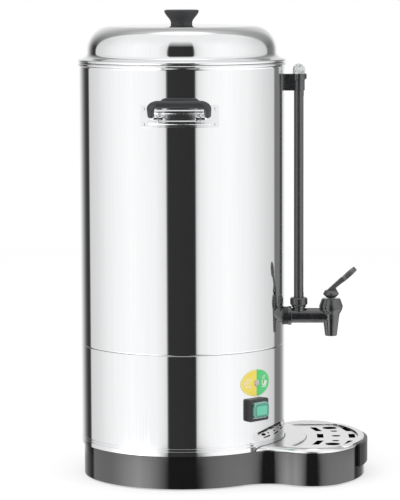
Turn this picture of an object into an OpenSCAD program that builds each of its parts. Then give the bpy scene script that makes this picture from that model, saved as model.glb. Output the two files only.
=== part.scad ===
// Hot water urn: a steel tank on a steel lower shell and a black base, with a
// lift-off lid, side handles, a level gauge, a self-closing tap and a drip tray.
// Origin: on the body's axis at the level of the table. The tap points to +X,
// the front handle to -Y, and +Z is up.

/* [Body] */
// Outer radius of the steel body
body_r = 125; // [115:1:132]
// Thickness of the body's sheet
sheet_t = 0.8; // [0.6:0.1:1.2]
// Height of the lower shell, from the base to the seam
shell_h = 121; // [112:1:140]
// Height of the tank's wall, from the seam to the underside of its rolled rim
tank_h = 338.8; // [300:1:380]
// Height of the tank's floor above the seam
tank_floor_up = 5.5; // [4.5:0.5:12]
// Radius of the tank's rolled rim in section
rim_roll_r = 2.2; // [1.8:0.1:2.6]
// How far the two beads of the lower shell stand proud
shell_bead_r = 0.9; // [0.6:0.1:1.2]
// Height of the first bead above the base
shell_bead_z = 6; // [4:0.5:9]
// Distance between the two beads
shell_bead_pitch = 3.2; // [2.4:0.1:6]

/* [Lid] */
// Distance of the lid's upright wall inside the body's outer radius
lid_wall_in = 9.5; // [9:0.5:16]
// Radius of the lid's upper corner in section
lid_corner_r = 30; // [20:1:36]
// Height of the lid's crown above the rim
lid_h = 45.4; // [42:0.1:60]
// Rise of the crown's middle over its corner
lid_crown_rise = 1.9; // [0.5:0.1:6]
// Thickness of the lid's sheet
lid_t = 0.8; // [0.6:0.1:1.2]
// Depth of the ring under the lid that finds the tank's mouth
lid_ring_depth = 7.5; // [5:0.5:12]
// Greatest radius of the lid's knob
knob_r = 21.1; // [17:0.1:24]
// Radius of the knob's neck
knob_neck_r = 13.3; // [10:0.1:14]
// Height of the knob
knob_h = 17.5; // [14:0.5:22]

/* [Base] */
// How far the base's round part stands inside the body's outer radius
base_in = 3; // [1.5:0.5:6]
// Height of the base's wall
base_h = 40; // [38:1:48]
// Thickness of the base's wall and top
base_wall = 3; // [2.5:0.1:4]
// Radius of the hollow neck between the round part and the tray part
neck_r = 50; // [40:1:60]
// Radius of the tray part's shoulders
shoulder_r = 45; // [40:1:48]
// Distance of the shoulders' centres beyond the body's surface
shoulder_out = 32; // [29:1:37]
// Distance of the shoulders' centres from the middle
shoulder_y = 58; // [54:1:60]
// Reach of the tray part's tip beyond the body's surface
tip_out = 98.5; // [93:0.5:107]
// Thickness of the bottom plate
bottom_t = 1.5; // [1:0.1:2.5]
// Radius of the rubber feet
foot_r = 9; // [7:0.5:11]
// How far the feet stand below the base's wall
foot_proud = 1.5; // [1:0.1:3]
// Radius of the opening in the base's top for the wires
service_r = 58; // [40:1:60]

/* [Drip tray] */
// Half the width of the drip tray's opening
tray_half_w = 78; // [66:1:79]
// Width of the steel land between the body and the grate
land_out = 27; // [23:1:31]
// Width of the steel rim left outside the tray's opening at the tip
rim_w = 1.5; // [1.5:0.1:3]
// Height of the steel deck's outer edge
deck_edge_h = 6; // [5:0.1:8]
// Drop of the deck from its outer edge to the tray's opening
deck_drop = 2.3; // [1:0.1:3]
// Thickness of the deck's sheet
deck_t = 0.8; // [0.6:0.1:1.2]
// Thickness of the drip tray's wall and floor
tray_t = 1.8; // [1.4:0.1:2.4]
// Depth of the drip tray
tray_depth = 30; // [18:1:32]
// Half the width of the tray's grip
grip_half_w = 55; // [35:1:60]
// Thickness of the tray's grip
grip_t = 3.2; // [2.5:0.1:5]
// Height of the tray's grip, measured down from the base's top edge
grip_h = 25; // [18:1:30]
// Thickness of the grate
grate_t = 1.2; // [1:0.1:2]
// Distance of the middle of the grate's pattern from the tray part's tip
pattern_in = 35; // [33.5:0.5:37.5]
// Radius of the grate's two large holes
large_hole_r = 9.1; // [6:0.1:10]
// Radius of the grate's small round holes
small_hole_r = 4.5; // [3:0.1:5.5]
// Width of the grate's slots
slot_w = 7.8; // [5:0.1:9]
// Length of the grate's two straight slots
slot_len = 27; // [18:0.5:30]

/* [Tap] */
// Height of the tap's pipe above the seam
tap_up = 31.9; // [31.5:0.1:40]
// Distance of the tap's barrel from the body's surface
tap_out = 57; // [51:0.5:65]
// Outer radius of the tap's pipe
pipe_r = 9.15; // [8:0.05:10.5]
// Bore radius of the tap's pipe
pipe_bore_r = 6; // [4.5:0.1:6.5]
// Bore radius of the tap's valve chamber
chamber_r = 7.5; // [7:0.1:8]
// Radius of the tap's outlet at its mouth
outlet_r = 7.35; // [6.5:0.05:8.5]
// Bore radius of the tap's outlet
outlet_bore_r = 5; // [4:0.1:5.5]
// Distance from the pipe's axis down to the outlet's mouth
outlet_drop = 25; // [20:0.5:34]
// Greatest radius of the bonnet nut
bonnet_r = 14.6; // [13:0.1:16]
// Height of the bonnet nut
bonnet_h = 11.7; // [11:0.1:16]
// Radius of the valve stem
stem_r = 2.5; // [2:0.1:3]
// Travel of the valve stem
stem_travel = 4.5; // [3:0.1:5]
// Radius of the lever's hub
hub_r = 9.5; // [8:0.1:10.5]
// Radius of the lever's pin
lever_pin_r = 1.2; // [1:0.1:1.5]
// Half the width of the lever's thumb pad
pad_half_w = 9; // [6:0.5:12]
// Radius of the thumb's hollow in the pad
thumb_r = 12; // [9:0.5:20]

/* [Gauge] */
// Distance of the level gauge from the body's surface
gauge_out = 17.5; // [15.5:0.5:23]
// Outer radius of the gauge's guard tube
guard_r = 6.05; // [5.5:0.05:7]
// Wall of the gauge's guard tube
guard_wall = 1.2; // [0.8:0.1:1.4]
// Outer radius of the gauge's glass
glass_r = 3.8; // [3:0.1:4]
// Drop from the tank's rolled rim to the top of the guard tube
guard_drop = 18.9; // [16:0.1:60]
// Outer radius of the gauge's lower nut
gauge_nut_r = 10.4; // [9:0.1:12]
// Height of the gauge's lower nut
gauge_nut_h = 9.9; // [8:0.1:14]
// Height of the bracket that ties the gauge to the tank
gauge_bracket_h = 20.3; // [16:0.1:26]
// Radius of the clear cap on the gauge
cap_r = 7.7; // [7.4:0.1:9]

/* [Handles] */
// Height of the handles' lugs above the seam
handle_up = 282; // [200:1:300]
// Half the distance between the middles of a grip's legs
handle_half_w = 33.2; // [29:0.1:42]
// Radius of a handle's grip bar
grip_bar_r = 4.5; // [4:0.1:6]
// Radius of a grip's bends at the middle of the bar
grip_bend_r = 9; // [8:0.5:12]
// Length of a handle from its lug to the middle of the bar
handle_reach = 27; // [24:0.5:40]
// Lean of a handle from upright
handle_lean = 50; // [40:1:60]
// Radius of the chrome rod that ends in the grip
rod_r = 2; // [1.5:0.1:2.4]
// Half the width of a handle's bracket plate
bracket_half_w = 46; // [36:0.5:50]
// Half the distance over the two lugs of a bracket
lug_half_w = 25.5; // [24:0.5:28]
// Height of a handle's bracket plate
bracket_h = 26; // [24:0.5:30]
// Thickness of a handle's bracket plate
bracket_t = 1.5; // [1:0.1:2]

/* [Switch and lamp] */
// Angle of the switch from the front, towards the tap
switch_a = 45.3; // [30:0.1:48]
// Height of the switch above the base
switch_up = 51; // [45:0.5:54]
// Width of the switch's bezel
bezel_w = 31.5; // [28:0.5:33]
// Height of the switch's bezel
bezel_h = 27; // [26:0.5:29]
// How far the bezel stands out from the body's surface
bezel_proud = 6; // [4:0.5:8]
// How far the clear boot stands out from the bezel
boot_proud = 6.5; // [5:0.5:9]
// Swing of the rocker between off and on
rocker_swing = 12; // [8:1:14]
// Angle of the indicator panel from the front, towards the tap
panel_a = 45.8; // [40:0.1:50]
// Height of the indicator panel above the base
panel_up = 83.2; // [80:0.1:96]
// Width of the indicator panel, measured round the body
panel_w = 49.5; // [34:0.5:52]
// Height of the indicator panel
panel_h = 33; // [24:0.5:34]
// Radius of the lamp's lens
lens_r = 3.8; // [3:0.1:4.5]

/* [Heating] */
// Distance of the heating plate's edge inside the body
heater_plate_in = 27; // [18:1:34]
// Thickness of the heating plate
heater_plate_t = 6; // [5:0.5:8]
// Radius of the main heating ring
heater_ring_r = 75; // [65:1:85]
// Radius of the keep-warm ring
warm_ring_r = 45; // [38:1:52]
// Radius of the heating tubes in section
heater_tube_r = 4; // [3:0.1:4.5]
// Radius of the stud that ties tank and base
stud_r = 4; // [3:0.5:5]
// Bore radius of the cord gland
gland_bore_r = 3.6; // [3:0.1:4.5]
// Bearing of the cord gland, from the tap round to the back
gland_a = 118; // [114:1:122]

/* [Hidden] */
$fn = 96;

// Clearances between pieces
seat_gap = 0.3;      // rest gap of curved faces
run_gap = 0.08;      // radial gap of a running fit
slide_gap = 0.5;     // gap round a lift-out piece
fit_gap = 0.05;      // radial gap of a fixed fit
eps = 0.01;
far = 400;

// Places tied to the body's radius
base_r = body_r - base_in;
lid_wall_r = body_r - lid_wall_in;
shoulder_x = body_r + shoulder_out;
tip_x = body_r + tip_out;
land_r = body_r + land_out;
pattern_x = tip_x - pattern_in;
tap_x = body_r + tap_out;
gauge_x = body_r + gauge_out;
heater_plate_r = body_r - heater_plate_in;

// Heights
base_z0 = foot_proud;
base_top = base_z0 + base_h;
seam_z = base_top + shell_h;
rim_z = seam_z + tank_h + rim_roll_r;
lid_z = rim_z + rim_roll_r + seat_gap;
lid_top = lid_z + lid_h;
inner_r = body_r - sheet_t;
tank_floor_z = seam_z + tank_floor_up;
tap_z = seam_z + tap_up;
handle_z = seam_z + handle_up;

// Outline of the base: round part, hollow neck, shoulders and tip, tangent arcs
shoulder_c = [shoulder_x, shoulder_y];
tip_reach = tip_x - shoulder_x;
tip_r = (tip_reach * tip_reach + shoulder_y * shoulder_y - shoulder_r * shoulder_r)
    / (2 * (tip_reach - shoulder_r));
tip_c = [tip_x - tip_r, 0];
neck_far = norm(shoulder_c);
neck_dir = shoulder_c / neck_far;
neck_along = (pow(base_r + neck_r, 2) - pow(shoulder_r + neck_r, 2) + neck_far * neck_far)
    / (2 * neck_far);
neck_out = sqrt(pow(base_r + neck_r, 2) - neck_along * neck_along);
neck_c = neck_along * neck_dir + neck_out * [-neck_dir[1], neck_dir[0]];

function heading(v) = atan2(v[1], v[0]);
// Points along an arc, without its first one
function arc(c, r, a0, a1, n) =
    [for (i = [1:n]) c + r * [cos(a0 + (a1 - a0) * i / n), sin(a0 + (a1 - a0) * i / n)]];
function mirrored(pts) = [for (i = [len(pts) - 2:-1:0]) [pts[i][0], -pts[i][1]]];

// Half of the base's outline, moved inwards by d, from the rear to the tip
function half_outline(d) = let (
    a_round = heading(neck_c),
    a_join = heading(shoulder_c - neck_c) + 360,
    a_shoulder = heading(shoulder_c - tip_c))
    concat(
        arc([0, 0], base_r - d, 180, a_round, 30),
        arc(neck_c, neck_r + d, a_round + 180, a_join, 8),
        arc(shoulder_c, shoulder_r - d, a_join - 180, a_shoulder, 12),
        arc(tip_c, tip_r - d, a_shoulder, 0, 12));
module base_outline(d = 0) {
    half = half_outline(d);
    polygon(concat([[-(base_r - d), 0]], half, mirrored(half)));
}

// Outline of the tray's opening, moved inwards by d
module tray_outline(d = 0) {
    side = tray_half_w - d;
    in_r = land_r + d;
    out_r = tip_r - rim_w - d;
    a_in = asin(side / in_r);
    a_out = asin(side / out_r);
    polygon(concat(arc([0, 0], in_r, a_in + 2, -a_in, 12),
        arc(tip_c, out_r, -a_out - 3, a_out, 18)));
}

module at_z(z) { translate([0, 0, z]) children(); }
module slab(z0, z1) { translate([0, 0, z0]) linear_extrude(z1 - z0) children(); }
module disc(r, z0, z1) { translate([0, 0, z0]) cylinder(h = z1 - z0, r = r); }
module ring(ro, ri, z0, z1) {
    difference() {
        disc(ro, z0, z1);
        disc(ri, z0 - 1, z1 + 1);
    }
}
// A cylinder along +X from x0 to x1
module x_rod(r, x0, x1) { translate([x0, 0, 0]) rotate([0, 90, 0]) cylinder(h = x1 - x0, r = r); }
// Children drawn at the front (-Y side) are turned by angle a towards the tap
module on_wall(a) { rotate([0, 0, a]) children(); }
module front_and_back() {
    children();
    rotate([0, 0, 180]) children();
}

// ---- Base -------------------------------------------------------------
plate_z = base_z0 + 1.5;                 // underside of the bottom plate
plate_top = plate_z + bottom_t;
boss_r = 4.5;
screw_r = 1.5;
top_under = base_top - base_wall;        // underside of the base's top
deck_z1 = base_top + deck_edge_h;
deck_low = deck_z1 - deck_drop;
grate_top = deck_low - seat_gap;
grate_z = grate_top - grate_t;
tray_floor_z = grate_z - tray_depth;
well_in = base_wall + seat_gap + deck_t; // tray well's inside, in from the base's outline
vent_w = 6;
vent_l = 30;
boss_in = 17;                            // bosses' ring inside the base's round wall
foot_in = boss_in + 7;
foot_places = concat([[0, 0]], [for (a = [60, 135, 225, 300]) (base_r - foot_in) * [cos(a), sin(a)]],
    [for (s = [-1, 1]) [shoulder_x + 30, s * (shoulder_y - 8)]]);
boss_places = concat([for (a = [90, 150, 210, 270]) (base_r - boss_in) * [cos(a), sin(a)]],
    [for (s = [-1, 1]) [shoulder_x - 18, s * (shoulder_y + 32)]]);
foot_stem_r = foot_r / 3;
foot_head_r = 1.4 * foot_stem_r;
screw_head_r = 3.2;
screw_head_t = 1.2;
screw_grip = 10;                         // length of screw in the boss
gland_z = base_z0 + base_h / 2;
gland_r = 7.8;
// The gland's own place: its axis along -x, turned to its bearing
module at_gland() {
    rotate([0, 0, gland_a - 180]) translate([0, 0, gland_z]) children();
}
spigot_r = inner_r - seat_gap;
spigot_h = 8;

module base_housing() color("#26272a") {
    difference() {
        union() {
            difference() {
                slab(base_z0, base_top) base_outline();
                slab(base_z0 - 1, top_under) base_outline(base_wall);
            }
            for (p = boss_places) translate(p) disc(boss_r, plate_top, top_under + 1);
            ring(spigot_r - seat_gap, spigot_r - 3, top_under, base_top + spigot_h);
        }
        // opening for the deck's well
        slab(top_under - 1, base_top + 1) intersection() {
            tray_outline(-deck_t - seat_gap);
            base_outline(base_wall);
        }
        disc(service_r, top_under - 1, base_top + 1);
        for (p = boss_places) translate(p) disc(screw_r, plate_top - 1, plate_top + screw_grip + 2);
        at_gland() {
            x_rod(gland_r + fit_gap, -base_r - 5, -base_r + base_wall + 5);
            // flat inside face round the gland for its nut
            translate([-base_r + base_wall + 5, -13, -13]) cube([4, 26, 26]);
        }
    }
}

module bottom_plate() color("#9fa3a6") {
    difference() {
        slab(plate_z, plate_top) base_outline(base_wall + seat_gap);
        for (p = boss_places) translate(p) disc(screw_r + 0.3, plate_z - 1, plate_top + 1);
        for (p = foot_places) translate(p) disc(foot_stem_r + fit_gap, plate_z - 1, plate_top + 1);
        // air slots under the heater
        for (i = [-3:3], s = [-1, 1]) translate([i * 14 - vent_w / 2, s * 36 - vent_l / 2, plate_z - 1])
            cube([vent_w, vent_l, bottom_t + 2]);
    }
}

module rubber_feet() color("#1b1b1c") {
    for (p = foot_places) translate(p) {
        disc(foot_r, 0, plate_z);
        disc(foot_stem_r, plate_z - eps, plate_top + 0.6);
        disc(foot_head_r, plate_top, plate_top + foot_stem_r / 1.5);
    }
}

module base_screws() color("#c8cacc") {
    for (p = boss_places) translate(p) {
        disc(screw_head_r, plate_z - screw_head_t, plate_z);
        disc(screw_r - fit_gap, plate_z - eps, plate_top + screw_grip);
    }
}

// ---- Steel deck round the tray ---------------------------------------
deck_out_y = shoulder_y + shoulder_r;
// Cross-section of the deck: level over the tray, rising to the outer edges
module deck_section(drop) {
    translate([60, 0, 0]) rotate([90, 0, 90]) linear_extrude(tip_x) polygon([
        [-deck_out_y - 5, base_top - 2], [-deck_out_y - 5, deck_z1 - drop],
        [-deck_out_y + 4, deck_z1 - drop], [-tray_half_w, deck_low - drop],
        [tray_half_w, deck_low - drop], [deck_out_y - 4, deck_z1 - drop],
        [deck_out_y + 5, deck_z1 - drop], [deck_out_y + 5, base_top - 2]]);
}
// Pressed from one sheet: the land and rim, and the well that the tray stands in
module deck_cover() color("#d9dadb") {
    difference() {
        union() {
            intersection() {
                slab(base_top, deck_z1) base_outline();
                deck_section(0);
            }
            slab(tray_floor_z - deck_t, base_top + 1) intersection() {
                tray_outline(-deck_t);
                base_outline(well_in - deck_t);
            }
        }
        difference() {
            intersection() {
                slab(base_top - 1, deck_z1) base_outline(deck_t);
                deck_section(deck_t);
            }
            slab(base_top - 2, deck_z1) tray_outline(-deck_t);
            disc(body_r + seat_gap + deck_t, base_top - 2, deck_z1);
        }
        disc(body_r + shell_bead_r + seat_gap, base_top - 3, deck_z1 + 1);
        slab(base_top, deck_z1 + 1) tray_outline();
        slab(tray_floor_z, base_top + 1) intersection() {
            tray_outline();
            base_outline(well_in);
        }
        // the grip's hook passes through the deck's edge at the tip
        translate([tip_x - 32, -grip_half_w - slide_gap, base_top - 3])
            cube([60, 2 * (grip_half_w + slide_gap), 20]);
    }
}

// ---- Drip tray and grate ---------------------------------------------
tray_gap = 0.5;
module drip_tray() color("#202123") {
    difference() {
        union() {
            slab(tray_floor_z, grate_z) intersection() {
                tray_outline(tray_gap);
                base_outline(well_in + tray_gap);
            }
            // hook over the base's wall, and the grip outside it
            intersection() {
                difference() {
                    slab(base_top - grip_h, grate_z) base_outline(-grip_t - 0.4);
                    slab(base_top - grip_h - 1, base_top + seat_gap) base_outline(-0.4);
                }
                translate([tip_x - 30, -grip_half_w, 0]) cube([60, 2 * grip_half_w, far]);
            }
        }
        slab(tray_floor_z + tray_t, grate_z + 1) intersection() {
            tray_outline(tray_gap + tray_t);
            base_outline(well_in + tray_gap + tray_t);
        }
    }
}

// Straight slot with square ends, leaning by shear s
module leaning_slot(len, w, s) {
    polygon([[-w / 2 - s, len / 2], [w / 2 - s, len / 2], [w / 2 + s, -len / 2], [-w / 2 + s, -len / 2]]);
}
slot_reach = 19.5;
module grate_pattern() {
    translate([pattern_x, 0]) {
        for (s = [-1, 1]) {
            translate([s * slot_reach, 0]) square([slot_w, slot_len], center = true);
            translate([-6, s * 55.5]) circle(large_hole_r);
            translate([-1.5, s * 33]) circle(small_hole_r);
            translate([-slot_reach - 4, s * 46]) mirror([0, s < 0 ? 1 : 0]) leaning_slot(28, slot_w - 1.2, 3.7);
            translate([slot_reach - 5, s * 46]) mirror([0, s < 0 ? 1 : 0]) leaning_slot(28, slot_w - 1.2, 3.4);
        }
        circle(small_hole_r + 1);
    }
}
module drip_grate() color("#e2e3e4") {
    difference() {
        slab(grate_z, grate_top) tray_outline(tray_gap);
        slab(grate_z - 1, grate_top + 1) grate_pattern();
    }
}

// ---- Steel body --------------------------------------------------------
seam_chamfer = 0.4;
shell_lap = 4;
module lower_shell() color("#dcddde") {
    difference() {
        rotate_extrude() polygon([
            [inner_r, base_top], [body_r, base_top], [body_r, seam_z - seam_chamfer],
            [body_r - seam_chamfer, seam_z], [inner_r - seat_gap, seam_z],
            [inner_r - seat_gap, seam_z + shell_lap], [inner_r - seat_gap - sheet_t, seam_z + shell_lap],
            [inner_r - seat_gap - sheet_t, seam_z - 2], [inner_r, seam_z - 3.5]]);
        on_wall(switch_a) translate([-bezel_body_w / 2, -body_r - 5, switch_z - bezel_body_h / 2])
            cube([bezel_body_w, 30, bezel_body_h]);
        on_wall(panel_a) translate([0, -body_r + 15, panel_z]) rotate([90, 0, 0])
            cylinder(h = 30, r = lens_r + fit_gap);
    }
    for (i = [0, 1]) at_z(base_top + shell_bead_z + i * shell_bead_pitch)
        rotate_extrude() translate([body_r - eps, 0]) intersection() {
            circle(shell_bead_r, $fn = 24);
            translate([0, -5]) square([5, 10]);
        }
}

floor_t = 1;
through = 20;                            // half the reach of a cutter through the wall
module tank() color("#e0e1e2") {
    difference() {
        rotate_extrude() polygon([
            [inner_r, seam_z + seam_chamfer], [inner_r + seam_chamfer, seam_z],
            [body_r - seam_chamfer, seam_z], [body_r, seam_z + seam_chamfer],
            [body_r, rim_z], [inner_r, rim_z]]);
        translate([0, 0, tap_z]) x_rod(pipe_r + fit_gap, body_r - through, body_r + through);
        translate([0, 0, bracket_z]) x_rod(gauge_screw_r + fit_gap, body_r - through, body_r + through);
        front_and_back() rivet_holes();
    }
    rotate_extrude() translate([body_r - 0.1, rim_z]) difference() {
        circle(rim_roll_r, $fn = 40);
        translate([-5, -5]) square([5 - sheet_t + 0.1, 5]);
    }
    // dished floor, welded in
    rotate_extrude() polygon([
        [0, tank_floor_z], [inner_r - 6, tank_floor_z], [inner_r - seat_gap - sheet_t - 1.5, tank_floor_z + 2],
        [inner_r - seat_gap - sheet_t + 0.5, tank_floor_z + 4.5], [inner_r + eps, tank_floor_z + 5],
        [inner_r + eps, tank_floor_z + 7], [inner_r - 3.2, tank_floor_z + 5.5],
        [inner_r - 4.4, tank_floor_z + 2.6], [inner_r - 6.6, tank_floor_z + floor_t],
        [0, tank_floor_z + floor_t]]);
}

// ---- Lid ---------------------------------------------------------------
corner_c = [lid_wall_r - lid_corner_r, lid_top - lid_crown_rise - lid_corner_r];
flange_r = body_r - 0.2;
flare_z = lid_z + 10;
lid_roll_r = 1.9;
// Outer line of the lid's section, moved inwards by d
function lid_line(d) = let (
    crown_r = (corner_c[0] * corner_c[0] + lid_crown_rise * lid_crown_rise) / (2 * lid_crown_rise),
    crown_c = [0, lid_top - crown_r],
    a_crown = asin(corner_c[0] / crown_r))
    concat(
        [[0, lid_top - d]],
        arc(crown_c, crown_r - d, 90, 90 - a_crown, 6),
        arc(corner_c, lid_corner_r - d, 88, 0, 14),
        arc([lid_wall_r + 5, flare_z], 5 + d, 180, 255, 6),
        [[flange_r, lid_z + 3.8 - d]]);
module lid() color("#e4e5e6") {
    outer = lid_line(0);
    inner = lid_line(lid_t);
    difference() {
        union() {
            rotate_extrude() polygon(concat(outer, [for (i = [len(inner) - 1:-1:0]) inner[i]]));
            rotate_extrude() translate([flange_r, lid_z + lid_roll_r]) circle(lid_roll_r, $fn = 36);
            // locating ring, spot-welded under the flange
            rotate_extrude() polygon([
                [lid_wall_r + 5.2, lid_z + 4], [lid_wall_r + 5.2, lid_z - lid_ring_depth],
                [lid_wall_r + 6, lid_z - lid_ring_depth], [lid_wall_r + 6, lid_z + 4]]);
        }
        disc(knob_screw_r + fit_gap, lid_top - 20, lid_top + 5);
    }
}

knob_screw_r = 2.5;
module lid_knob() color("#1d1e20") {
    z0 = lid_top;
    difference() {
        rotate_extrude() polygon(concat(
            [[0, z0], [knob_neck_r, z0], [knob_neck_r + 0.8, z0 + 1.6],
             [knob_neck_r + 0.22 * (knob_r - knob_neck_r) + 1, z0 + 0.22 * knob_h],
             [knob_r - 3.4, z0 + 0.36 * knob_h], [knob_r - 1.2, z0 + 0.58 * knob_h]],
            arc([knob_r - 2.5, z0 + knob_h - 3], 2.5, 0, 90, 6),
            [[0, z0 + knob_h]]));
        disc(knob_screw_r, z0 - 1, z0 + 11);
    }
}
module knob_screw() color("#b9bcbe") {
    disc(knob_screw_r - fit_gap, lid_top - lid_t - 0.5, lid_top + 10);
    disc(8, lid_top - lid_t - 1.3, lid_top - lid_t - 0.25);
    disc(4.6, lid_top - lid_t - 3.6, lid_top - lid_t - 1.3);
}

// ---- Heating under the tank -------------------------------------------
heater_z = tank_floor_z - heater_plate_t;
heater_pin_z = heater_z - 14;
heater_gap_a = 16;
module heater_plate() color("#b4b7ba") {
    difference() {
        disc(heater_plate_r, heater_z, tank_floor_z);
        disc(stud_r + 1, heater_z - 1, tank_floor_z + 1);
        for (r = [heater_ring_r, warm_ring_r]) at_z(heater_z)
            rotate_extrude() translate([r, 0]) circle(heater_tube_r + fit_gap, $fn = 32);
    }
}
// An open ring of heating tube with a cold pin down from each end
module tube_ring(r, a_mid) {
    pin_a = heater_gap_a / 2 + asin(heater_tube_r / r);
    at_z(heater_z) rotate([0, 0, a_mid + heater_gap_a / 2])
        rotate_extrude(angle = 360 - heater_gap_a) translate([r, 0]) circle(heater_tube_r, $fn = 32);
    for (s = [-1, 1]) rotate([0, 0, a_mid + s * pin_a]) translate([r, 0, 0])
        disc(heater_tube_r - 1, heater_pin_z, heater_z);
}
module heating_ring() color("#7d7f80") tube_ring(heater_ring_r, 180);
module keep_warm_ring() color("#8a8c8d") tube_ring(warm_ring_r, 150);
// A round bimetal switch held to the heating plate, between the two rings
module bimetal_switch(a) {
    rotate([0, 0, a]) translate([(heater_ring_r + warm_ring_r) / 2, 0, 0]) {
        disc(8, heater_z - 7, heater_z);
        disc(10, heater_z - 1, heater_z);
        for (s = [-1, 1]) translate([s * 4 - 2.5, -0.4, heater_z - 15]) cube([5, 0.8, 8.5]);
    }
}
module thermostat() color("#ded8c8") bimetal_switch(75);
module dry_boil_cutout() color("#3c3c3e") bimetal_switch(-75);

strap_half = base_r - 14;
strap_w = 24;
strap_foot = 16;
strap_z = base_top + 76;
strap_t = 2.5;
module tie_stud() color("#a7aaac") {
    disc(stud_r, strap_z - 16, tank_floor_z);
}
module tie_strap() color("#a9acae") {
    difference() {
        union() {
            translate([-strap_w / 2, -strap_half, strap_z]) cube([strap_w, 2 * strap_half, strap_t]);
            for (s = [-1, 1]) {
                translate([-strap_w / 2, s * strap_half - (s > 0 ? strap_t : 0), base_top])
                    cube([strap_w, strap_t, strap_z + strap_t - base_top]);
                translate([-strap_w / 2, s * strap_half - (s > 0 ? strap_foot : 0), base_top])
                    cube([strap_w, strap_foot, strap_t]);
            }
        }
        disc(stud_r + 0.5, strap_z - 1, strap_z + strap_t + 1);
    }
}
module tie_nut() color("#c2c5c7") {
    difference() {
        translate([0, 0, strap_z - 7]) cylinder(h = 7, r = 7.5, $fn = 6);
        disc(stud_r + fit_gap, strap_z - 8, strap_z + 1);
    }
}

block_z1 = base_top + 15;
wire_r = 1.4;
pin_a = heater_gap_a / 2 + asin(heater_tube_r / heater_ring_r);
pin_x = -heater_ring_r * cos(pin_a);
pin_y = heater_ring_r * sin(pin_a);
module terminal_block() color("#d8d4c4") {
    difference() {
        translate([pin_x - 8.5, -22, base_top]) cube([17, 44, block_z1 - base_top]);
        for (y = [-5, 5]) translate([pin_x, y, block_z1 - 9]) cylinder(h = 10, r = 2.2, $fn = 32);
    }
}
module wires() color("#a05a2c") {
    for (s = [-1, 1]) translate([pin_x, s * pin_y, 0]) disc(wire_r, block_z1, heater_pin_z);
}

module cord_gland() color("#1e1f21") {
    at_gland() difference() {
        union() {
            x_rod(gland_r, -base_r - 2, -base_r + base_wall + 12);
            x_rod(11, -base_r - 5, -base_r - 0.5);
            x_rod(8.5, -base_r - 10, -base_r - 5 + eps);
        }
        x_rod(gland_bore_r, -base_r - 12, -base_r + base_wall + 13);
        // wider behind the grip, inside the wall
        x_rod(gland_bore_r + 1.4, -base_r - 0.5, -base_r + base_wall + 13);
    }
}
module gland_nut() color("#2a2b2d") {
    at_gland() difference() {
        translate([-base_r + base_wall + 5, 0, 0]) rotate([0, 90, 0]) cylinder(h = 4.5, r = 11.5, $fn = 6);
        x_rod(gland_r + fit_gap, -base_r - 12, -base_r + base_wall + 13);
    }
}

// ---- Switch ------------------------------------------------------------
switch_z = base_top + switch_up;
bezel_body_w = bezel_w - 4;
bezel_body_h = bezel_h - 4;
bezel_y = -body_r - bezel_proud;
boot_w = bezel_w - 6;
boot_h = bezel_h - 10;
boot_t = 0.9;
// A block with rounded upright edges and a rounded front, from y1 (back) to y0 (front)
module pillow(w, h, y0, y1, r) {
    for (sx = [-1, 1], sz = [-1, 1]) translate([sx * (w / 2 - r), 0, sz * (h / 2 - r)]) {
        translate([0, y0 + r, 0]) sphere(r, $fn = 32);
        translate([0, y1, 0]) rotate([90, 0, 0]) cylinder(h = y1 - y0 - r, r = r, $fn = 32);
    }
    for (s = [-1, 1]) {
        translate([s * (w / 2 - r), y0 + r, -h / 2 + r]) cylinder(h = h - 2 * r, r = r, $fn = 32);
        translate([-w / 2 + r, y0 + r, s * (h / 2 - r)]) rotate([0, 90, 0]) cylinder(h = w - 2 * r, r = r, $fn = 32);
    }
    translate([-w / 2 + r, y0, -h / 2 + r]) cube([w - 2 * r, y1 - y0, h - 2 * r]);
    translate([-w / 2, y0 + r, -h / 2 + r]) cube([w, y1 - y0 - r, h - 2 * r]);
    translate([-w / 2 + r, y0 + r, -h / 2]) cube([w - 2 * r, y1 - y0 - r, h]);
}
module switch_bezel() color("#2b2a2c") {
    on_wall(switch_a) difference() {
        union() {
            difference() {
                translate([0, 0, switch_z]) pillow(bezel_w, bezel_h, bezel_y, -body_r + 4, 2.2);
                rotate_extrude() translate([20, base_top]) square([body_r - 20 + fit_gap, shell_h]);
            }
            translate([-bezel_body_w / 2 + 0.2, -body_r - 2, switch_z - bezel_body_h / 2 + 0.2])
                cube([bezel_body_w - 0.4, 24, bezel_body_h - 0.4]);
        }
        // pocket of the rocker
        translate([-rocker_w / 2 - 0.6, bezel_y - 1, switch_z - rocker_h / 2 - 1.2])
            cube([rocker_w + 1.2, 19, rocker_h + 2.4]);
        // hole of the rocker's trunnions
        translate([-bezel_w, rocker_pivot_y, switch_z]) rotate([0, 90, 0])
            cylinder(h = 2 * bezel_w, r = trunnion_r + run_gap, $fn = 32);
    }
}
rocker_w = boot_w - 2 * boot_t - 2.4;
rocker_h = boot_h - 2 * boot_t - 4.4;
rocker_pivot_y = bezel_y + 5;
trunnion_r = 1.5;
module switch_rocker() color("#5fc7a6") {
    on_wall(switch_a) translate([0, rocker_pivot_y, switch_z]) rotate([-rocker_swing / 2, 0, 0]) {
        translate([-rocker_w / 2, 0, 0]) rotate([90, 0, 90]) linear_extrude(rocker_w) polygon([
            [6.5, -2.5], [6.5, 2.5], [1, rocker_h / 2 - 0.6], [-7.6, rocker_h / 2],
            [-6.6, 0], [-7.6, -rocker_h / 2], [1, -rocker_h / 2 + 0.6]]);
        translate([-rocker_w / 2 - 1.6, 0, 0]) rotate([0, 90, 0])
            cylinder(h = rocker_w + 3.2, r = trunnion_r, $fn = 32);
    }
}
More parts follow.
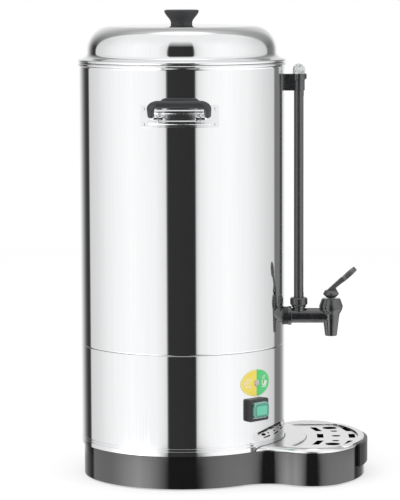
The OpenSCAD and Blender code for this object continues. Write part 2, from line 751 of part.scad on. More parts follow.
module switch_boot() color("#7fdcc0", 0.6) {
    on_wall(switch_a) translate([0, 0, switch_z]) difference() {
        union() {
            pillow(boot_w, boot_h, bezel_y - boot_proud, bezel_y, 3.5);
            translate([-boot_w / 2 - 1, bezel_y - 0.8, -boot_h / 2 - 1]) cube([boot_w + 2, 0.8, boot_h + 2]);
        }
        pillow(boot_w - 2 * boot_t, boot_h - 2 * boot_t, bezel_y - boot_proud + boot_t, bezel_y + 1, 2.7);
    }
}

// ---- Indicator panel and lamp -----------------------------------------
panel_z = base_top + panel_up;
panel_t = 0.6;
module indicator_panel() color("#9bd86e") {
    // an oval cut from a thin sleeve round the body
    on_wall(panel_a) intersection() {
        ring(body_r + panel_t, body_r, panel_z - panel_h, panel_z + panel_h);
        difference() {
            translate([0, 0, panel_z]) rotate([90, 0, 0]) linear_extrude(body_r + 20)
                polygon([for (i = [0:47]) [panel_w / 2 * cos(i * 7.5), panel_h / 2 * sin(i * 7.5)]]);
            translate([0, 0, panel_z]) rotate([90, 0, 0]) cylinder(h = body_r + 30, r = lens_r + fit_gap);
        }
    }
}
module lamp_lens() color("#f2f4f2", 0.7) {
    on_wall(panel_a) translate([0, 0, panel_z]) rotate([90, 0, 0]) {
        translate([0, 0, body_r - 3]) cylinder(h = 4.4, r = lens_r);
        translate([0, 0, body_r + 1.4]) intersection() {
            translate([0, 0, -lens_r * 1.1]) sphere(lens_r * 1.5);
            cylinder(h = 5, r = lens_r);
        }
    }
}
module lamp_body() color("#d9d9d6") {
    on_wall(panel_a) translate([0, 0, panel_z]) rotate([90, 0, 0])
        translate([0, 0, body_r - 21]) difference() {
            cylinder(h = 18, r = 5);
            translate([0, 0, -1]) cylinder(h = 9, r = 3.4);
        }
}

// ---- Handles -----------------------------------------------------------
rivet_a = asin((bracket_half_w - 3.4) / body_r);
rivet_r = 1.4;
ear_y = -body_r - 9;                     // the rod's axis at the lug
bracket_z0 = handle_z - 11.5;
bracket_z1 = bracket_z0 + bracket_h;
ear_x = lug_half_w;
rivet_rows = [bracket_z0 + 3.7, bracket_z1 - 4.2];
// two level beads stiffen the plate, either side of the lugs
bead_rows = [handle_z - 5.5, handle_z + 7];
plate_bead_r = 3.2;
plate_bead_proud = 1.2;
bead_half_w = lug_half_w + 11;           // they end short of the rivets
module rivet_holes() {
    for (s = [-1, 1], z = rivet_rows) on_wall(s * rivet_a) translate([0, -body_r + through, z]) rotate([90, 0, 0])
        cylinder(h = 2 * through, r = rivet_r + fit_gap, $fn = 32);
}
plate_r = body_r + fit_gap + bracket_t;
module handle_bracket() {
    difference() {
        union() {
            // plate that follows the tank
            intersection() {
                union() {
                    ring(plate_r, body_r + fit_gap, bracket_z0, bracket_z1);
                    for (z = bead_rows) intersection() {
                        translate([0, 0, z]) rotate_extrude() intersection() {
                            translate([plate_r + plate_bead_proud - plate_bead_r, 0]) circle(plate_bead_r, $fn = 48);
                            translate([body_r + fit_gap, -plate_bead_r]) square(2 * plate_bead_r);
                        }
                        translate([-bead_half_w, -body_r - 10, z - plate_bead_r])
                            cube([2 * bead_half_w, 40, 2 * plate_bead_r]);
                    }
                }
                translate([-bracket_half_w, -body_r - 10, bracket_z0])
                    cube([2 * bracket_half_w, 40, bracket_z1 - bracket_z0]);
            }
            // two ears for the rod
            for (s = [-1, 1]) difference() {
                translate([s * ear_x - (s > 0 ? bracket_t : 0), 0, handle_z]) rotate([0, 90, 0]) {
                    translate([0, ear_y, 0]) cylinder(h = bracket_t, r = 5, $fn = 48);
                    translate([-5, ear_y, 0]) cube([10, -ear_y - body_r + 8, bracket_t]);
                }
                disc(body_r + fit_gap, bracket_z0 - 1, bracket_z1 + 1);
            }
        }
        rivet_holes();
        translate([-50, ear_y, handle_z]) rotate([0, 90, 0]) cylinder(h = 100, r = rod_r + fit_gap, $fn = 32);
    }
}
module handle_bracket_front() color("#dfe0e1") handle_bracket();
module handle_bracket_back() color("#dfe0e1") rotate([0, 0, 180]) handle_bracket();

rod_bend_r = 4;
leg_from = 5;                            // the grip's legs begin this far up the handle
// The handle's own plane: x along the bar, +y up the handle, from the lug's axis
module handle_plane() {
    translate([0, ear_y, handle_z]) rotate([90 + handle_lean, 0, 0]) children();
}
module handle_rod(s) {
    // along the lug's axis, round a bend and up into the leg
    rod_in = ear_x - bracket_t - 3;
    rod_out = handle_half_w - rod_bend_r;
    handle_plane() mirror([s < 0 ? 1 : 0, 0, 0]) {
        translate([rod_in, 0, 0]) rotate([0, 90, 0]) cylinder(h = rod_out - rod_in, r = rod_r, $fn = 32);
        translate([rod_out, rod_bend_r, 0]) rotate([0, 0, -90])
            rotate_extrude(angle = 90) translate([rod_bend_r, 0]) circle(rod_r, $fn = 32);
        translate([handle_half_w, rod_bend_r, 0]) rotate([-90, 0, 0])
            cylinder(h = leg_from + 8 - rod_bend_r, r = rod_r, $fn = 32);
        // upset head inside the ear
        translate([rod_in - 1.5, 0, 0]) rotate([0, 90, 0]) cylinder(h = 1.5 + eps, r = rod_r + 1.2, $fn = 32);
    }
}
module handle_rods() for (s = [-1, 1]) handle_rod(s);
module handle_rods_front() color("#d4d6d8") handle_rods();
module handle_rods_back() color("#d4d6d8") rotate([0, 0, 180]) handle_rods();

leg_r = 4;
module handle_grip() {
    handle_plane() difference() {
        union() {
            for (s = [-1, 1]) mirror([s < 0 ? 1 : 0, 0, 0]) {
                translate([handle_half_w, leg_from, 0]) rotate([-90, 0, 0])
                    cylinder(h = handle_reach - grip_bend_r - leg_from, r1 = leg_r, r2 = grip_bar_r, $fn = 48);
                translate([handle_half_w - grip_bend_r, handle_reach - grip_bend_r, 0])
                    rotate_extrude(angle = 90) translate([grip_bend_r, 0]) circle(grip_bar_r, $fn = 48);
            }
            translate([-handle_half_w + grip_bend_r, handle_reach, 0]) rotate([0, 90, 0])
                cylinder(h = 2 * (handle_half_w - grip_bend_r), r = grip_bar_r, $fn = 48);
        }
        for (s = [-1, 1]) translate([s * handle_half_w, leg_from - 1, 0]) rotate([-90, 0, 0])
            cylinder(h = 10, r = rod_r + fit_gap, $fn = 32);
    }
}
module handle_grip_front() color("#1f2022") handle_grip();
module handle_grip_back() color("#1f2022") rotate([0, 0, 180]) handle_grip();

module bracket_rivets() color("#cfd1d3") {
    front_and_back() for (s = [-1, 1], z = rivet_rows) on_wall(s * rivet_a) translate([0, 0, z]) rotate([90, 0, 0]) {
        translate([0, 0, inner_r - 1.2]) cylinder(h = bracket_t + sheet_t + 1.6, r = rivet_r, $fn = 32);
        translate([0, 0, body_r + bracket_t + 0.2]) cylinder(h = 0.6, r = rivet_r + 0.8, $fn = 32);
        translate([0, 0, inner_r - 1.2]) cylinder(h = 0.9, r = rivet_r + 0.9, $fn = 32);
    }
}

// ---- Level gauge --------------------------------------------------------
neck_top = tap_z + 12.7;
guard_z0 = neck_top + 3;
guard_z1 = rim_z - guard_drop;
bracket_z = guard_z1 - gauge_bracket_h / 2 + 4;
gauge_ring_r = guard_r + 1.65;
cap_z = guard_z1 + 6.9;
gauge_screw_r = 2;
module gauge_guard() color("#2a2b2d") {
    difference() {
        translate([gauge_x, 0, 0]) ring(guard_r, guard_r - guard_wall, guard_z0, guard_z1);
        // window towards the user
        translate([gauge_x, -2.2, neck_top + gauge_nut_h + 6])
            cube([20, 4.4, guard_z1 - gauge_bracket_h - neck_top - gauge_nut_h - 6]);
    }
}
module gauge_glass() color("#e8f2f2", 0.4) {
    translate([gauge_x, 0, 0]) ring(glass_r, glass_r - 1, tap_z + 5, guard_z1 + 4);
}
module gauge_seal() color("#4b4b4d") {
    translate([gauge_x, 0, 0]) ring(guard_r - guard_wall - fit_gap, glass_r + fit_gap, neck_top, neck_top + 3);
}
module gauge_nut() color("#232426") {
    z1 = neck_top + gauge_nut_h;
    translate([gauge_x, 0, 0]) difference() {
        union() {
            rotate_extrude() polygon([[0, neck_top], [gauge_nut_r - 1.2, neck_top], [gauge_nut_r, neck_top + 1.4],
                [gauge_nut_r, z1 - 1.4], [gauge_nut_r - 1.2, z1], [0, z1]]);
            // grip ribs
            for (i = [0:11]) rotate([0, 0, i * 30 + 15]) translate([gauge_nut_r - 0.8, 0, neck_top + 1.6])
                cylinder(h = gauge_nut_h - 3.2, r = 1.3, $fn = 24);
        }
        disc(guard_r + fit_gap, neck_top + 3, z1 + 1);
        disc(guard_r - guard_wall, neck_top - 1, neck_top + 4);
    }
}
module gauge_bracket() color("#222325") {
    z0 = guard_z1 - 14;
    z1 = cap_z - 0.6;
    difference() {
        union() {
            translate([gauge_x, 0, 0]) disc(gauge_ring_r, guard_z1 - 1.2, z1);
            translate([gauge_x, 0, 0]) disc(guard_r + 1.1, z0, guard_z1);
            translate([body_r - 2, -6, z0]) cube([gauge_x - body_r - guard_r + 4, 12, gauge_bracket_h]);
            // small stop on the outer side
            translate([gauge_x, -2, guard_z1]) cube([gauge_ring_r + 1.7, 4, z1 - guard_z1]);
        }
        translate([gauge_x, 0, 0]) disc(guard_r + fit_gap, z0 - 1, guard_z1);
        translate([gauge_x, 0, 0]) disc(glass_r + fit_gap, z0 - 1, z1 + 1);
        disc(body_r + fit_gap, z0 - 5, z1 + 5);
        translate([0, 0, bracket_z]) x_rod(gauge_screw_r + fit_gap, body_r - through, body_r + 8);
    }
}
module gauge_screw() color("#c4c6c8") {
    translate([0, 0, bracket_z]) {
        x_rod(gauge_screw_r, inner_r - 3, body_r + 7);
        x_rod(4, inner_r - 5, inner_r - 1.6);
    }
}
module gauge_cap() color("#eef3f3", 0.5) {
    translate([gauge_x, 0, 0]) difference() {
        union() {
            disc(cap_r, cap_z - 0.6, cap_z + 4);
            intersection() {
                at_z(cap_z + 4) sphere(cap_r);
                disc(cap_r + 1, cap_z + 3, cap_z + 20);
            }
        }
        disc(cap_r - 1.5, cap_z - 2, cap_z + 4);
        at_z(cap_z + 4) sphere(cap_r - 1.5);
    }
}

// ---- Tap ----------------------------------------------------------------
barrel_top = tap_z + pipe_r + 0.35;
seat_z = tap_z - 4.4;
outlet_z = tap_z - outlet_drop;
flange_x0 = body_r + 4.2;
flange_x1 = flange_x0 + 4.3;
flange_ro = pipe_r + 2.5;
bonnet_z1 = barrel_top + bonnet_h;
module tap_body() color("#232426") {
    difference() {
        union() {
            translate([0, 0, tap_z]) {
                x_rod(pipe_r, inner_r - 16, tap_x);
                x_rod(flange_ro, flange_x0, flange_x1);
            }
            translate([tap_x, 0, 0]) rotate_extrude() polygon([
                [0, outlet_z], [outlet_r - 0.6, outlet_z], [outlet_r, outlet_z + 0.8],
                [outlet_r + 2.25, tap_z - 5.8], [outlet_r + 3.2, tap_z + 1.5],
                [bonnet_r - 1.6, barrel_top - 3.6], [bonnet_r - 0.6, barrel_top - 1.6],
                [bonnet_r - 0.6, barrel_top], [0, barrel_top]]);
            translate([gauge_x, 0, 0]) {
                disc(7.6, tap_z, neck_top);
                disc(gauge_nut_r - 1.6, neck_top - 2.2, neck_top);
            }
        }
        translate([0, 0, tap_z]) x_rod(pipe_bore_r, inner_r - 20, tap_x);
        translate([tap_x, 0, 0]) {
            disc(chamber_r, seat_z, barrel_top + 1);
            disc(outlet_bore_r, outlet_z - 1, seat_z + 1);
        }
        translate([gauge_x, 0, 0]) {
            disc(2.6, tap_z, neck_top);
            disc(glass_r + fit_gap, tap_z + 5, neck_top + 1);
        }
    }
}
seal_x1 = flange_x0;
module tap_outer_seal() color("#2c2d2f") {
    difference() {
        translate([0, 0, tap_z]) x_rod(flange_ro - 0.6, body_r - 2, seal_x1);
        translate([0, 0, tap_z]) x_rod(pipe_r + fit_gap, body_r - 3, seal_x1 + 1);
        disc(body_r + fit_gap, tap_z - 20, tap_z + 20);
    }
}
module tap_inner_seal() color("#b9b9b4") {
    // flat against the curve of the tank at its two sides
    wall_bow = inner_r - sqrt(inner_r * inner_r - flange_ro * flange_ro);
    translate([0, 0, tap_z]) difference() {
        x_rod(flange_ro, inner_r - 3.4, inner_r - wall_bow - fit_gap);
        x_rod(pipe_r + fit_gap, inner_r - 5, inner_r + 2);
    }
}
module tap_back_nut() color("#3a3b3d") {
    translate([0, 0, tap_z]) difference() {
        translate([inner_r - 9.4, 0, 0]) rotate([0, 90, 0]) cylinder(h = 6, r = 13, $fn = 6);
        x_rod(pipe_r + fit_gap, inner_r - 12, inner_r);
    }
}
module tap_bonnet() color("#1f2022") {
    translate([tap_x, 0, 0]) difference() {
        rotate_extrude() polygon([
            [0, barrel_top], [bonnet_r - 0.6, barrel_top], [bonnet_r, barrel_top + 0.8],
            [bonnet_r, barrel_top + 2.4], [bonnet_r - 3, bonnet_z1 - 1], [bonnet_r - 3.9, bonnet_z1], [0, bonnet_z1]]);
        disc(chamber_r, barrel_top - 1, bonnet_z1 - 3);
        disc(stem_r + run_gap, bonnet_z1 - 4, bonnet_z1 + 1);
    }
}
pivot_z = bonnet_z1 + 5.4;
tongue_t = 3.2;
tongue_gap = 0.3;
slot_half = 5.6;
spring_z0 = seat_z + 7.4;
spring_z1 = bonnet_z1 - 3;
module tap_stem() color("#c9ccce") {
    translate([tap_x, 0, 0]) difference() {
        union() {
            disc(stem_r, seat_z + 1.6, bonnet_z1 + 0.4);
            disc(stem_r + 3, seat_z + 6.2, seat_z + 7.4);
            intersection() {
                disc(stem_r, bonnet_z1, pivot_z + 2.8);
                translate([-5, -tongue_t / 2, bonnet_z1]) cube([10, tongue_t, 20]);
            }
        }
        translate([0, 20, pivot_z]) rotate([90, 0, 0]) cylinder(h = 40, r = lever_pin_r + fit_gap, $fn = 32);
    }
}
module tap_seat_cup() color("#d8d8d4") {
    translate([tap_x, 0, 0]) difference() {
        rotate_extrude() polygon([[0, seat_z], [chamber_r - 1.2, seat_z], [chamber_r - 0.8, seat_z + 1],
            [chamber_r - 1.4, seat_z + 4], [stem_r + 1.6, seat_z + 6.2], [0, seat_z + 6.2]]);
        disc(stem_r + fit_gap, seat_z + 1.6, seat_z + 7);
    }
}
// Closing spring round the stem: a square-cut coil swept along its helix
spring_turns = 5;
spring_r = 4.6;
coil_r = 0.55;
coil_steps = 12;
function helix_at(t) = [spring_r * cos(360 * t), spring_r * sin(360 * t),
    spring_z0 + coil_r + 0.02 + (spring_z1 - spring_z0 - 2 * coil_r - 0.04) * t / spring_turns];
module tap_spring() color("#b8bbbd") {
    rings = spring_turns * coil_steps;
    sides = 6;
    points = [for (i = [0:rings]) let (t = i / coil_steps, c = helix_at(t))
        for (k = [0:sides - 1]) c + coil_r * [cos(60 * k) * cos(360 * t), cos(60 * k) * sin(360 * t), sin(60 * k)]];
    walls = [for (i = [0:rings - 1], k = [0:sides - 1]) let (a = i * sides, n = (k + 1) % sides)
        each [[a + k, a + n, a + sides + n], [a + k, a + sides + n, a + sides + k]]];
    ends = concat([for (k = [1:sides - 2]) [0, k + 1, k]],
        [for (k = [1:sides - 2]) [rings * sides, rings * sides + k, rings * sides + k + 1]]);
    translate([tap_x, 0, 0]) polyhedron(points, concat(walls, ends));
}
module tap_lever() color("#202123") {
    // arm in the XZ plane, measured from the hub's pivot
    arm = [[-7, 3.4], [-4.6, 4.8], [12.6, 20.6], [17, 21], [16, 15.8], [5.8, 7.6], [9, 0.4]];
    pad_mid = [21.4, 24];
    pad_lean = -42;
    pad_t = 5;
    difference() {
        union() {
            translate([tap_x, 0, pivot_z]) rotate_extrude() polygon([
                [0, -4.6], [5.2, -4.6], [hub_r, -0.7], [hub_r, 0.7], [7.4, 4.4], [0, 4.4]]);
            translate([tap_x, 4, pivot_z]) rotate([90, 0, 0]) linear_extrude(8) polygon(arm);
            translate([tap_x + pad_mid[0], 0, pivot_z + pad_mid[1]]) rotate([0, pad_lean, 0]) {
                for (s = [-1, 1]) translate([s * 2.5, 0, -pad_t / 2]) cylinder(h = pad_t, r = pad_half_w, $fn = 48);
                translate([-2.5, -pad_half_w, -pad_t / 2]) cube([5, 2 * pad_half_w, pad_t]);
            }
        }
        // thumb's hollow in the pad
        translate([tap_x + pad_mid[0], 0, pivot_z + pad_mid[1]]) rotate([0, pad_lean, 0])
            translate([0, 0, pad_t / 2 + thumb_r - 1.4]) sphere(thumb_r);
        // slot for the stem's tongue, wider below for its round part
        translate([tap_x - slot_half, -tongue_t / 2 - tongue_gap, pivot_z - 10])
            cube([2 * slot_half, tongue_t + 2 * tongue_gap, 14]);
        translate([tap_x - slot_half, -stem_r - tongue_gap, pivot_z - 10])
            cube([2 * slot_half, 2 * (stem_r + tongue_gap), 10 - stem_r - 0.4]);
        translate([tap_x, 20, pivot_z]) rotate([90, 0, 0]) cylinder(h = 40, r = lever_pin_r + run_gap, $fn = 32);
    }
}
module lever_pin() color("#c9ccce") {
    translate([tap_x, hub_r - 2, pivot_z]) rotate([90, 0, 0]) cylinder(h = 2 * hub_r - 4, r = lever_pin_r, $fn = 32);
}

base_housing();
bottom_plate();
rubber_feet();
base_screws();
deck_cover();
drip_tray();
drip_grate();
lower_shell();
tank();
lid();
lid_knob();
knob_screw();
heater_plate();
heating_ring();
keep_warm_ring();
thermostat();
dry_boil_cutout();
tie_stud();
tie_strap();
tie_nut();
terminal_block();
wires();
cord_gland();
gland_nut();
switch_bezel();
switch_rocker();
switch_boot();
indicator_panel();
lamp_lens();
lamp_body();
handle_bracket_front();
handle_bracket_back();
handle_rods_front();
handle_rods_back();
handle_grip_front();
handle_grip_back();
bracket_rivets();
gauge_guard();
gauge_glass();
gauge_seal();
gauge_nut();
gauge_bracket();
gauge_screw();
gauge_cap();
tap_body();
tap_outer_seal();
tap_inner_seal();
tap_back_nut();
tap_bonnet();
tap_stem();
tap_seat_cup();
tap_spring();
tap_lever();
lever_pin();
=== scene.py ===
# Looks of the hot water urn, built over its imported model.
# Pieces are drawn in millimetres and made metres when they are closed.
import math

import bmesh
import bpy
from mathutils import Matrix, Vector


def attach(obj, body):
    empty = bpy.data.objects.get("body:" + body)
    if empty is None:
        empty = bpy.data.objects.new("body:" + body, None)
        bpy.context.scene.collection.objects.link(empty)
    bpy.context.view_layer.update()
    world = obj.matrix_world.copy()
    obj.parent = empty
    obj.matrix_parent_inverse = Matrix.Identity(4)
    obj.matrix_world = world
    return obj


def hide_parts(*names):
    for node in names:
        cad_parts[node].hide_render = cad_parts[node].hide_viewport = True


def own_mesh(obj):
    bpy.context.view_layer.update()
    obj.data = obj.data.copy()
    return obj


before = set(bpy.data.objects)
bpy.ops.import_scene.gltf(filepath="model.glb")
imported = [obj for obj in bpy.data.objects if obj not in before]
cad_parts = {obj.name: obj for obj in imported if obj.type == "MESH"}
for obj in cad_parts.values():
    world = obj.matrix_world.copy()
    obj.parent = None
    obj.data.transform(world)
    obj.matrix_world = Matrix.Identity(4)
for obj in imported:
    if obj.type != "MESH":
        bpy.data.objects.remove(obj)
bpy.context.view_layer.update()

# ---- Camera ----------------------------------------------------------------
# Stands a little to the right of the front and above the lid's height, 3.2 m
# off with a long lens, as the photograph was taken.
swing, turn, tilt, roll = (math.radians(v) for v in (1.3, 0.384, 6.184, -0.205))
ahead = Vector((math.sin(turn - swing), math.cos(turn - swing), 0))
right = Vector((math.cos(turn - swing), -math.sin(turn - swing), 0))
forward = math.cos(tilt) * ahead - math.sin(tilt) * Vector((0, 0, 1))
up = right.cross(forward)
side = math.cos(roll) * right + math.sin(roll) * up
top = math.cos(roll) * up - math.sin(roll) * right
camera = bpy.data.objects.new("camera", bpy.data.cameras.new("camera"))
bpy.context.scene.collection.objects.link(camera)
turned = Matrix((side, top, -forward)).transposed()
camera.matrix_world = Matrix.Translation((0.0725, -3.1937, 0.6215)) @ turned.to_4x4()
camera.data.lens = 2620.8 / 500 * 36
camera.data.clip_end = 30
bpy.context.scene.camera = camera
bpy.context.scene.view_settings.view_transform = "Standard"


# ---- Studio -----------------------------------------------------------------
# A white sweep with two long soft boxes and the dark gap between them that the
# camera looks through: polished steel shows it as the dark upright band.
def linear(colour):
    """An sRGB hex colour as linear RGBA."""
    parts = [int(colour[i:i + 2], 16) / 255 for i in (1, 3, 5)]
    return [p / 12.92 if p <= 0.04045 else ((p + 0.055) / 1.055) ** 2.4 for p in parts] + [1.0]


def add(tree, kind, sockets=None, stops=None, **settings):
    """Adds a shader node with its settings; a socket gets a value or a link."""
    made = tree.nodes.new("ShaderNode" + kind)
    for name, value in settings.items():
        setattr(made, name, value)
    for name, value in (sockets or {}).items():
        if isinstance(value, bpy.types.NodeSocket):
            tree.links.new(value, made.inputs[name])
        else:
            made.inputs[name].default_value = value
    if stops:
        ramp = made.color_ramp.elements
        while len(ramp) > 1:
            ramp.remove(ramp[-1])
        ramp[0].position, ramp[0].color = stops[0]
        for place, colour in stops[1:]:
            ramp.new(place).color = colour
    return made


def grey(value):
    return (value, value, value, 1)


world = bpy.data.worlds.new("studio")
bpy.context.scene.world = world
world.use_nodes = True
sky = world.node_tree
sky.nodes.clear()
where = add(sky, "TexCoord").outputs["Generated"]
parts = add(sky, "SeparateXYZ", {0: where})
minus_y = add(sky, "Math", {0: parts.outputs["Y"], 1: -1.0}, operation="MULTIPLY")
bearing = add(sky, "Math", {0: parts.outputs["X"], 1: minus_y.outputs[0]}, operation="ARCTAN2")
turned = add(sky, "MapRange", {0: bearing.outputs[0], 1: -math.pi, 2: math.pi, 3: 0.0, 4: 1.0})
rise = add(sky, "Math", {0: parts.outputs["Z"]}, operation="ARCSINE")
# how bright the studio is round the horizon, by the bearing from the camera in degrees
round_about = [(-180, .95), (-165, 1.0), (-157, .80), (-151, .58), (-146, .38), (-142, .20), (-136, .06),
               (-130, .035), (-127, .09), (-125.2, .72), (-107, .82), (-94, .95), (-79, 1.04), (-58, 1.12),
               (-29, 1.04), (-21, .93), (-17, .85), (-15.2, .035), (15.4, .03), (17.2, .76), (21, .93), (31, 1.05),
               (53, 1.12), (79, 1.02), (94, .91), (108, .80), (126, .68), (129, .20), (142, .20), (152, .36),
               (162, .85), (180, .95)]
walls = add(sky, "ValToRGB", {0: turned.outputs[0]}, stops=[((a + 180) / 360, grey(v)) for a, v in round_about])


# the gap between the soft boxes closes overhead
closing = add(sky, "MapRange", {0: rise.outputs[0], 1: math.radians(28), 2: math.radians(56)})
front = add(sky, "Mix", {0: closing.outputs[0], 6: walls.outputs[0], 7: grey(0.97)}, data_type="RGBA")
# behind the urn the wall falls off upwards to the edge of the overhead box
apart = add(sky, "Math", {0: bearing.outputs[0]}, operation="ABSOLUTE")
upper = add(sky, "MapRange", {0: rise.outputs[0], 1: math.radians(8), 2: math.radians(50)})
even = add(sky, "Mix", {0: upper.outputs[0], 6: walls.outputs[0], 7: grey(0.8)}, data_type="RGBA")
height = add(sky, "MapRange", {0: rise.outputs[0], 1: 0.0, 2: math.pi / 2})
fall = add(sky, "ValToRGB", {0: height.outputs[0]}, stops=[
    (a / 90, grey(v)) for a, v in [(0, 1.0), (5, .97), (11, .86), (20, .78), (31, .66), (44, .56), (50, .60),
                                   (58, .72), (63, .82), (68, 1.3), (74, 2.2), (90, 2.4)]])
back = add(sky, "Mix", {0: 1.0, 6: even.outputs[2], 7: fall.outputs[0]}, data_type="RGBA", blend_type="MULTIPLY")
behind = add(sky, "MapRange", {0: apart.outputs[0], 1: math.radians(121), 2: math.radians(126)})
whole = add(sky, "Mix", {0: behind.outputs[0], 6: front.outputs[2], 7: back.outputs[2]}, data_type="RGBA")
# only the base is low enough to mirror the table, lit by the feet of the soft boxes
on_table = [(-180, .95), (-130, .05), (-124, .8), (-91, 1.0), (-79, 1.4), (-68, 1.9), (-52, 2.5), (-37, 1.85),
            (-28, 1.2), (-21, .6), (-15.5, .035), (17, .03), (21, .17), (24, .4), (27, .62), (33, .95), (51, 1.33),
            (71, 1.38), (94, 1.3), (126, 1.0), (130, .10), (150, .36), (162, .9), (180, .95)]
table = add(sky, "ValToRGB", {0: turned.outputs[0]}, stops=[((a + 180) / 360, grey(v)) for a, v in on_table])
lowest = add(sky, "MapRange", {0: rise.outputs[0], 1: math.radians(-10.5), 2: math.radians(-10.66)})
mirrored_room = add(sky, "Mix", {0: lowest.outputs[0], 6: whole.outputs[2], 7: table.outputs[0]}, data_type="RGBA")
path = add(sky, "LightPath")
seen = add(sky, "Math", {0: path.outputs["Is Camera Ray"], 1: path.outputs["Is Transmission Ray"]},
           operation="MAXIMUM")
soft = add(sky, "Background", {"Color": grey(1.0), "Strength": 0.80})
white = add(sky, "Background", {"Color": grey(1.0), "Strength": 1.0})
room = add(sky, "Background", {"Color": mirrored_room.outputs[2], "Strength": 1.0})
reflected = add(sky, "MixShader", {0: path.outputs["Is Glossy Ray"], 1: soft.outputs[0], 2: room.outputs[0]})
shown = add(sky, "MixShader", {0: seen.outputs[0], 1: reflected.outputs[0], 2: white.outputs[0]})
add(sky, "OutputWorld", {0: shown.outputs[0]})


def lamp(name, place, aim, size, watts):
    light = bpy.data.lights.new(name, "AREA")
    light.shape, light.size, light.size_y, light.energy = "RECTANGLE", size[0], size[1], watts
    made = bpy.data.objects.new(name, light)
    bpy.context.scene.collection.objects.link(made)
    way = Vector(aim) - Vector(place)
    made.matrix_world = Matrix.Translation(place) @ way.to_track_quat("-Z", "Y").to_matrix().to_4x4()
    made.visible_glossy = False
    return made


lamp("top_box", (-0.5, -0.9, 2.4), (0.05, 0, 0.3), (1.8, 1.4), 14)
lamp("right_box", (2.2, -1.4, 1.2), (0.05, 0, 0.3), (0.9, 1.8), 9)


def new_finish(name, colour, roughness, **sockets):
    """A material with a Principled shader; returns it, its tree, its shader and object coordinates."""
    made = bpy.data.materials.new(name)
    made.use_nodes = True
    tree = made.node_tree
    tree.nodes.clear()
    shader = add(tree, "BsdfPrincipled", {"Base Color": linear(colour), "Roughness": roughness})
    for socket, value in sockets.items():
        shader.inputs[socket.replace("_", " ")].default_value = value
    add(tree, "OutputMaterial", {0: shader.outputs[0]})
    return made, tree, shader, add(tree, "TexCoord").outputs["Object"]


# The floor: white paper that shows white to the camera and keeps the shadow
paper = bpy.data.materials.new("matt_white_paper")
paper.use_nodes = True
tree = paper.node_tree
tree.nodes.clear()
fibre = add(tree, "TexNoise", {"Vector": add(tree, "TexCoord").outputs["Object"], "Scale": 900.0, "Detail": 3.0})
tone = add(tree, "MapRange", {0: fibre.outputs[0], 1: 0.0, 2: 1.0, 3: 0.50, 4: 0.52})
sheet = add(tree, "BsdfDiffuse", {"Color": tone.outputs[0]})
glow = add(tree, "Emission", {"Color": grey(1.0), "Strength": 0.56})
lit = add(tree, "AddShader", {0: sheet.outputs[0], 1: glow.outputs[0]})
bounce = add(tree, "BsdfDiffuse", {"Color": linear("#d4d4d4")})
path = add(tree, "LightPath")
seen = add(tree, "Math", {0: path.outputs["Is Camera Ray"], 1: path.outputs["Is Transmission Ray"]},
           operation="MAXIMUM")
floor_mix = add(tree, "MixShader", {0: seen.outputs[0], 1: bounce.outputs[0], 2: lit.outputs[0]})
add(tree, "OutputMaterial", {0: floor_mix.outputs[0]})
bm = bmesh.new()
bmesh.ops.create_circle(bm, cap_ends=True, segments=96, radius=2.6)
mesh = bpy.data.meshes.new("floor")
bm.to_mesh(mesh)
bm.free()
mesh.materials.append(paper)
floor = bpy.data.objects.new("floor", mesh)
bpy.context.scene.collection.objects.link(floor)
floor.visible_glossy = False

# ---- Base housing ------------------------------------------------------------
# One glossy black moulding on the table: a round cup under the body that runs
# through a hollow neck into the tray part. Its top carries the steel shell.
MM = 0.001
BODY_R, BASE_R = 125.0, 122.0
BASE_Z0, BASE_TOP = 1.5, 41.5
NECK_R, SHOULDER_R, TIP_R, TIP_X = 50.0, 45.0, 134.0, 223.5
# the tray's opening: half its width, the land's radius behind it and its arc at the tip
MOUTH_HALF_W, LAND_R, MOUTH_TIP_R = 78.0, 152.0, TIP_R - 1.5
SHOULDER = Vector((157.0, 58.0))
TIP = Vector((TIP_X - TIP_R, 0.0))
along = ((BASE_R + NECK_R) ** 2 - (SHOULDER_R + NECK_R) ** 2 + SHOULDER.length_squared) / (2 * SHOULDER.length)
out = math.sqrt((BASE_R + NECK_R) ** 2 - along ** 2)
NECK = SHOULDER.normalized() * along + Vector((-SHOULDER.y, SHOULDER.x)).normalized() * out


def bearing_of(v):
    return math.degrees(math.atan2(v.y, v.x))


def trail(bm, start, moves, axis=(0, 0, 1)):
    """A chain of edges from a point. A move is a point, or (centre, degrees, steps) for an arc."""
    v = bm.verts.new(start)
    chain = [v]
    for move in moves:
        if len(move) == 3 and hasattr(move[0], "__len__"):
            spun = bmesh.ops.spin(bm, geom=[v], cent=move[0], axis=axis, angle=math.radians(move[1]), steps=move[2])
            v = [g for g in spun["geom_last"] if isinstance(g, bmesh.types.BMVert)][0]
        else:
            v2 = bm.verts.new(move)
            bm.edges.new((v, v2))
            v = v2
        chain.append(v)
    return chain


def half_to_loop(bm, before):
    """Mirrors the edges made since `before` over the XZ plane and returns the closed loop."""
    half = [e for e in bm.edges if e not in before]
    points = list({v for e in half for v in e.verts})
    for v in points:
        if abs(v.co.y) < 0.01:
            v.co.y = 0
    bmesh.ops.mirror(bm, geom=half + points, matrix=Matrix.Identity(4), axis="Y")
    loop = [e for e in bm.edges if e not in before]
    bmesh.ops.remove_doubles(bm, verts=list({v for e in loop for v in e.verts}), dist=1e-4)
    return [e for e in bm.edges if e not in before]


def base_loop(bm, z, inset=0.0):
    """The base's outline at a height, moved inwards."""
    before = set(bm.edges)
    a_round = bearing_of(NECK)
    a_join = bearing_of(SHOULDER - NECK)
    a_shoulder = bearing_of(SHOULDER - TIP)
    trail(bm, (-(BASE_R - inset), 0, z), [
        ((0, 0, z), a_round - 180, 72),
        ((*NECK, z), (a_join - a_round - 180) % 360, 16),
        ((*SHOULDER, z), -((a_join + 180 - a_shoulder) % 360), 26),
        ((*TIP, z), -a_shoulder, 22)])
    return half_to_loop(bm, before)


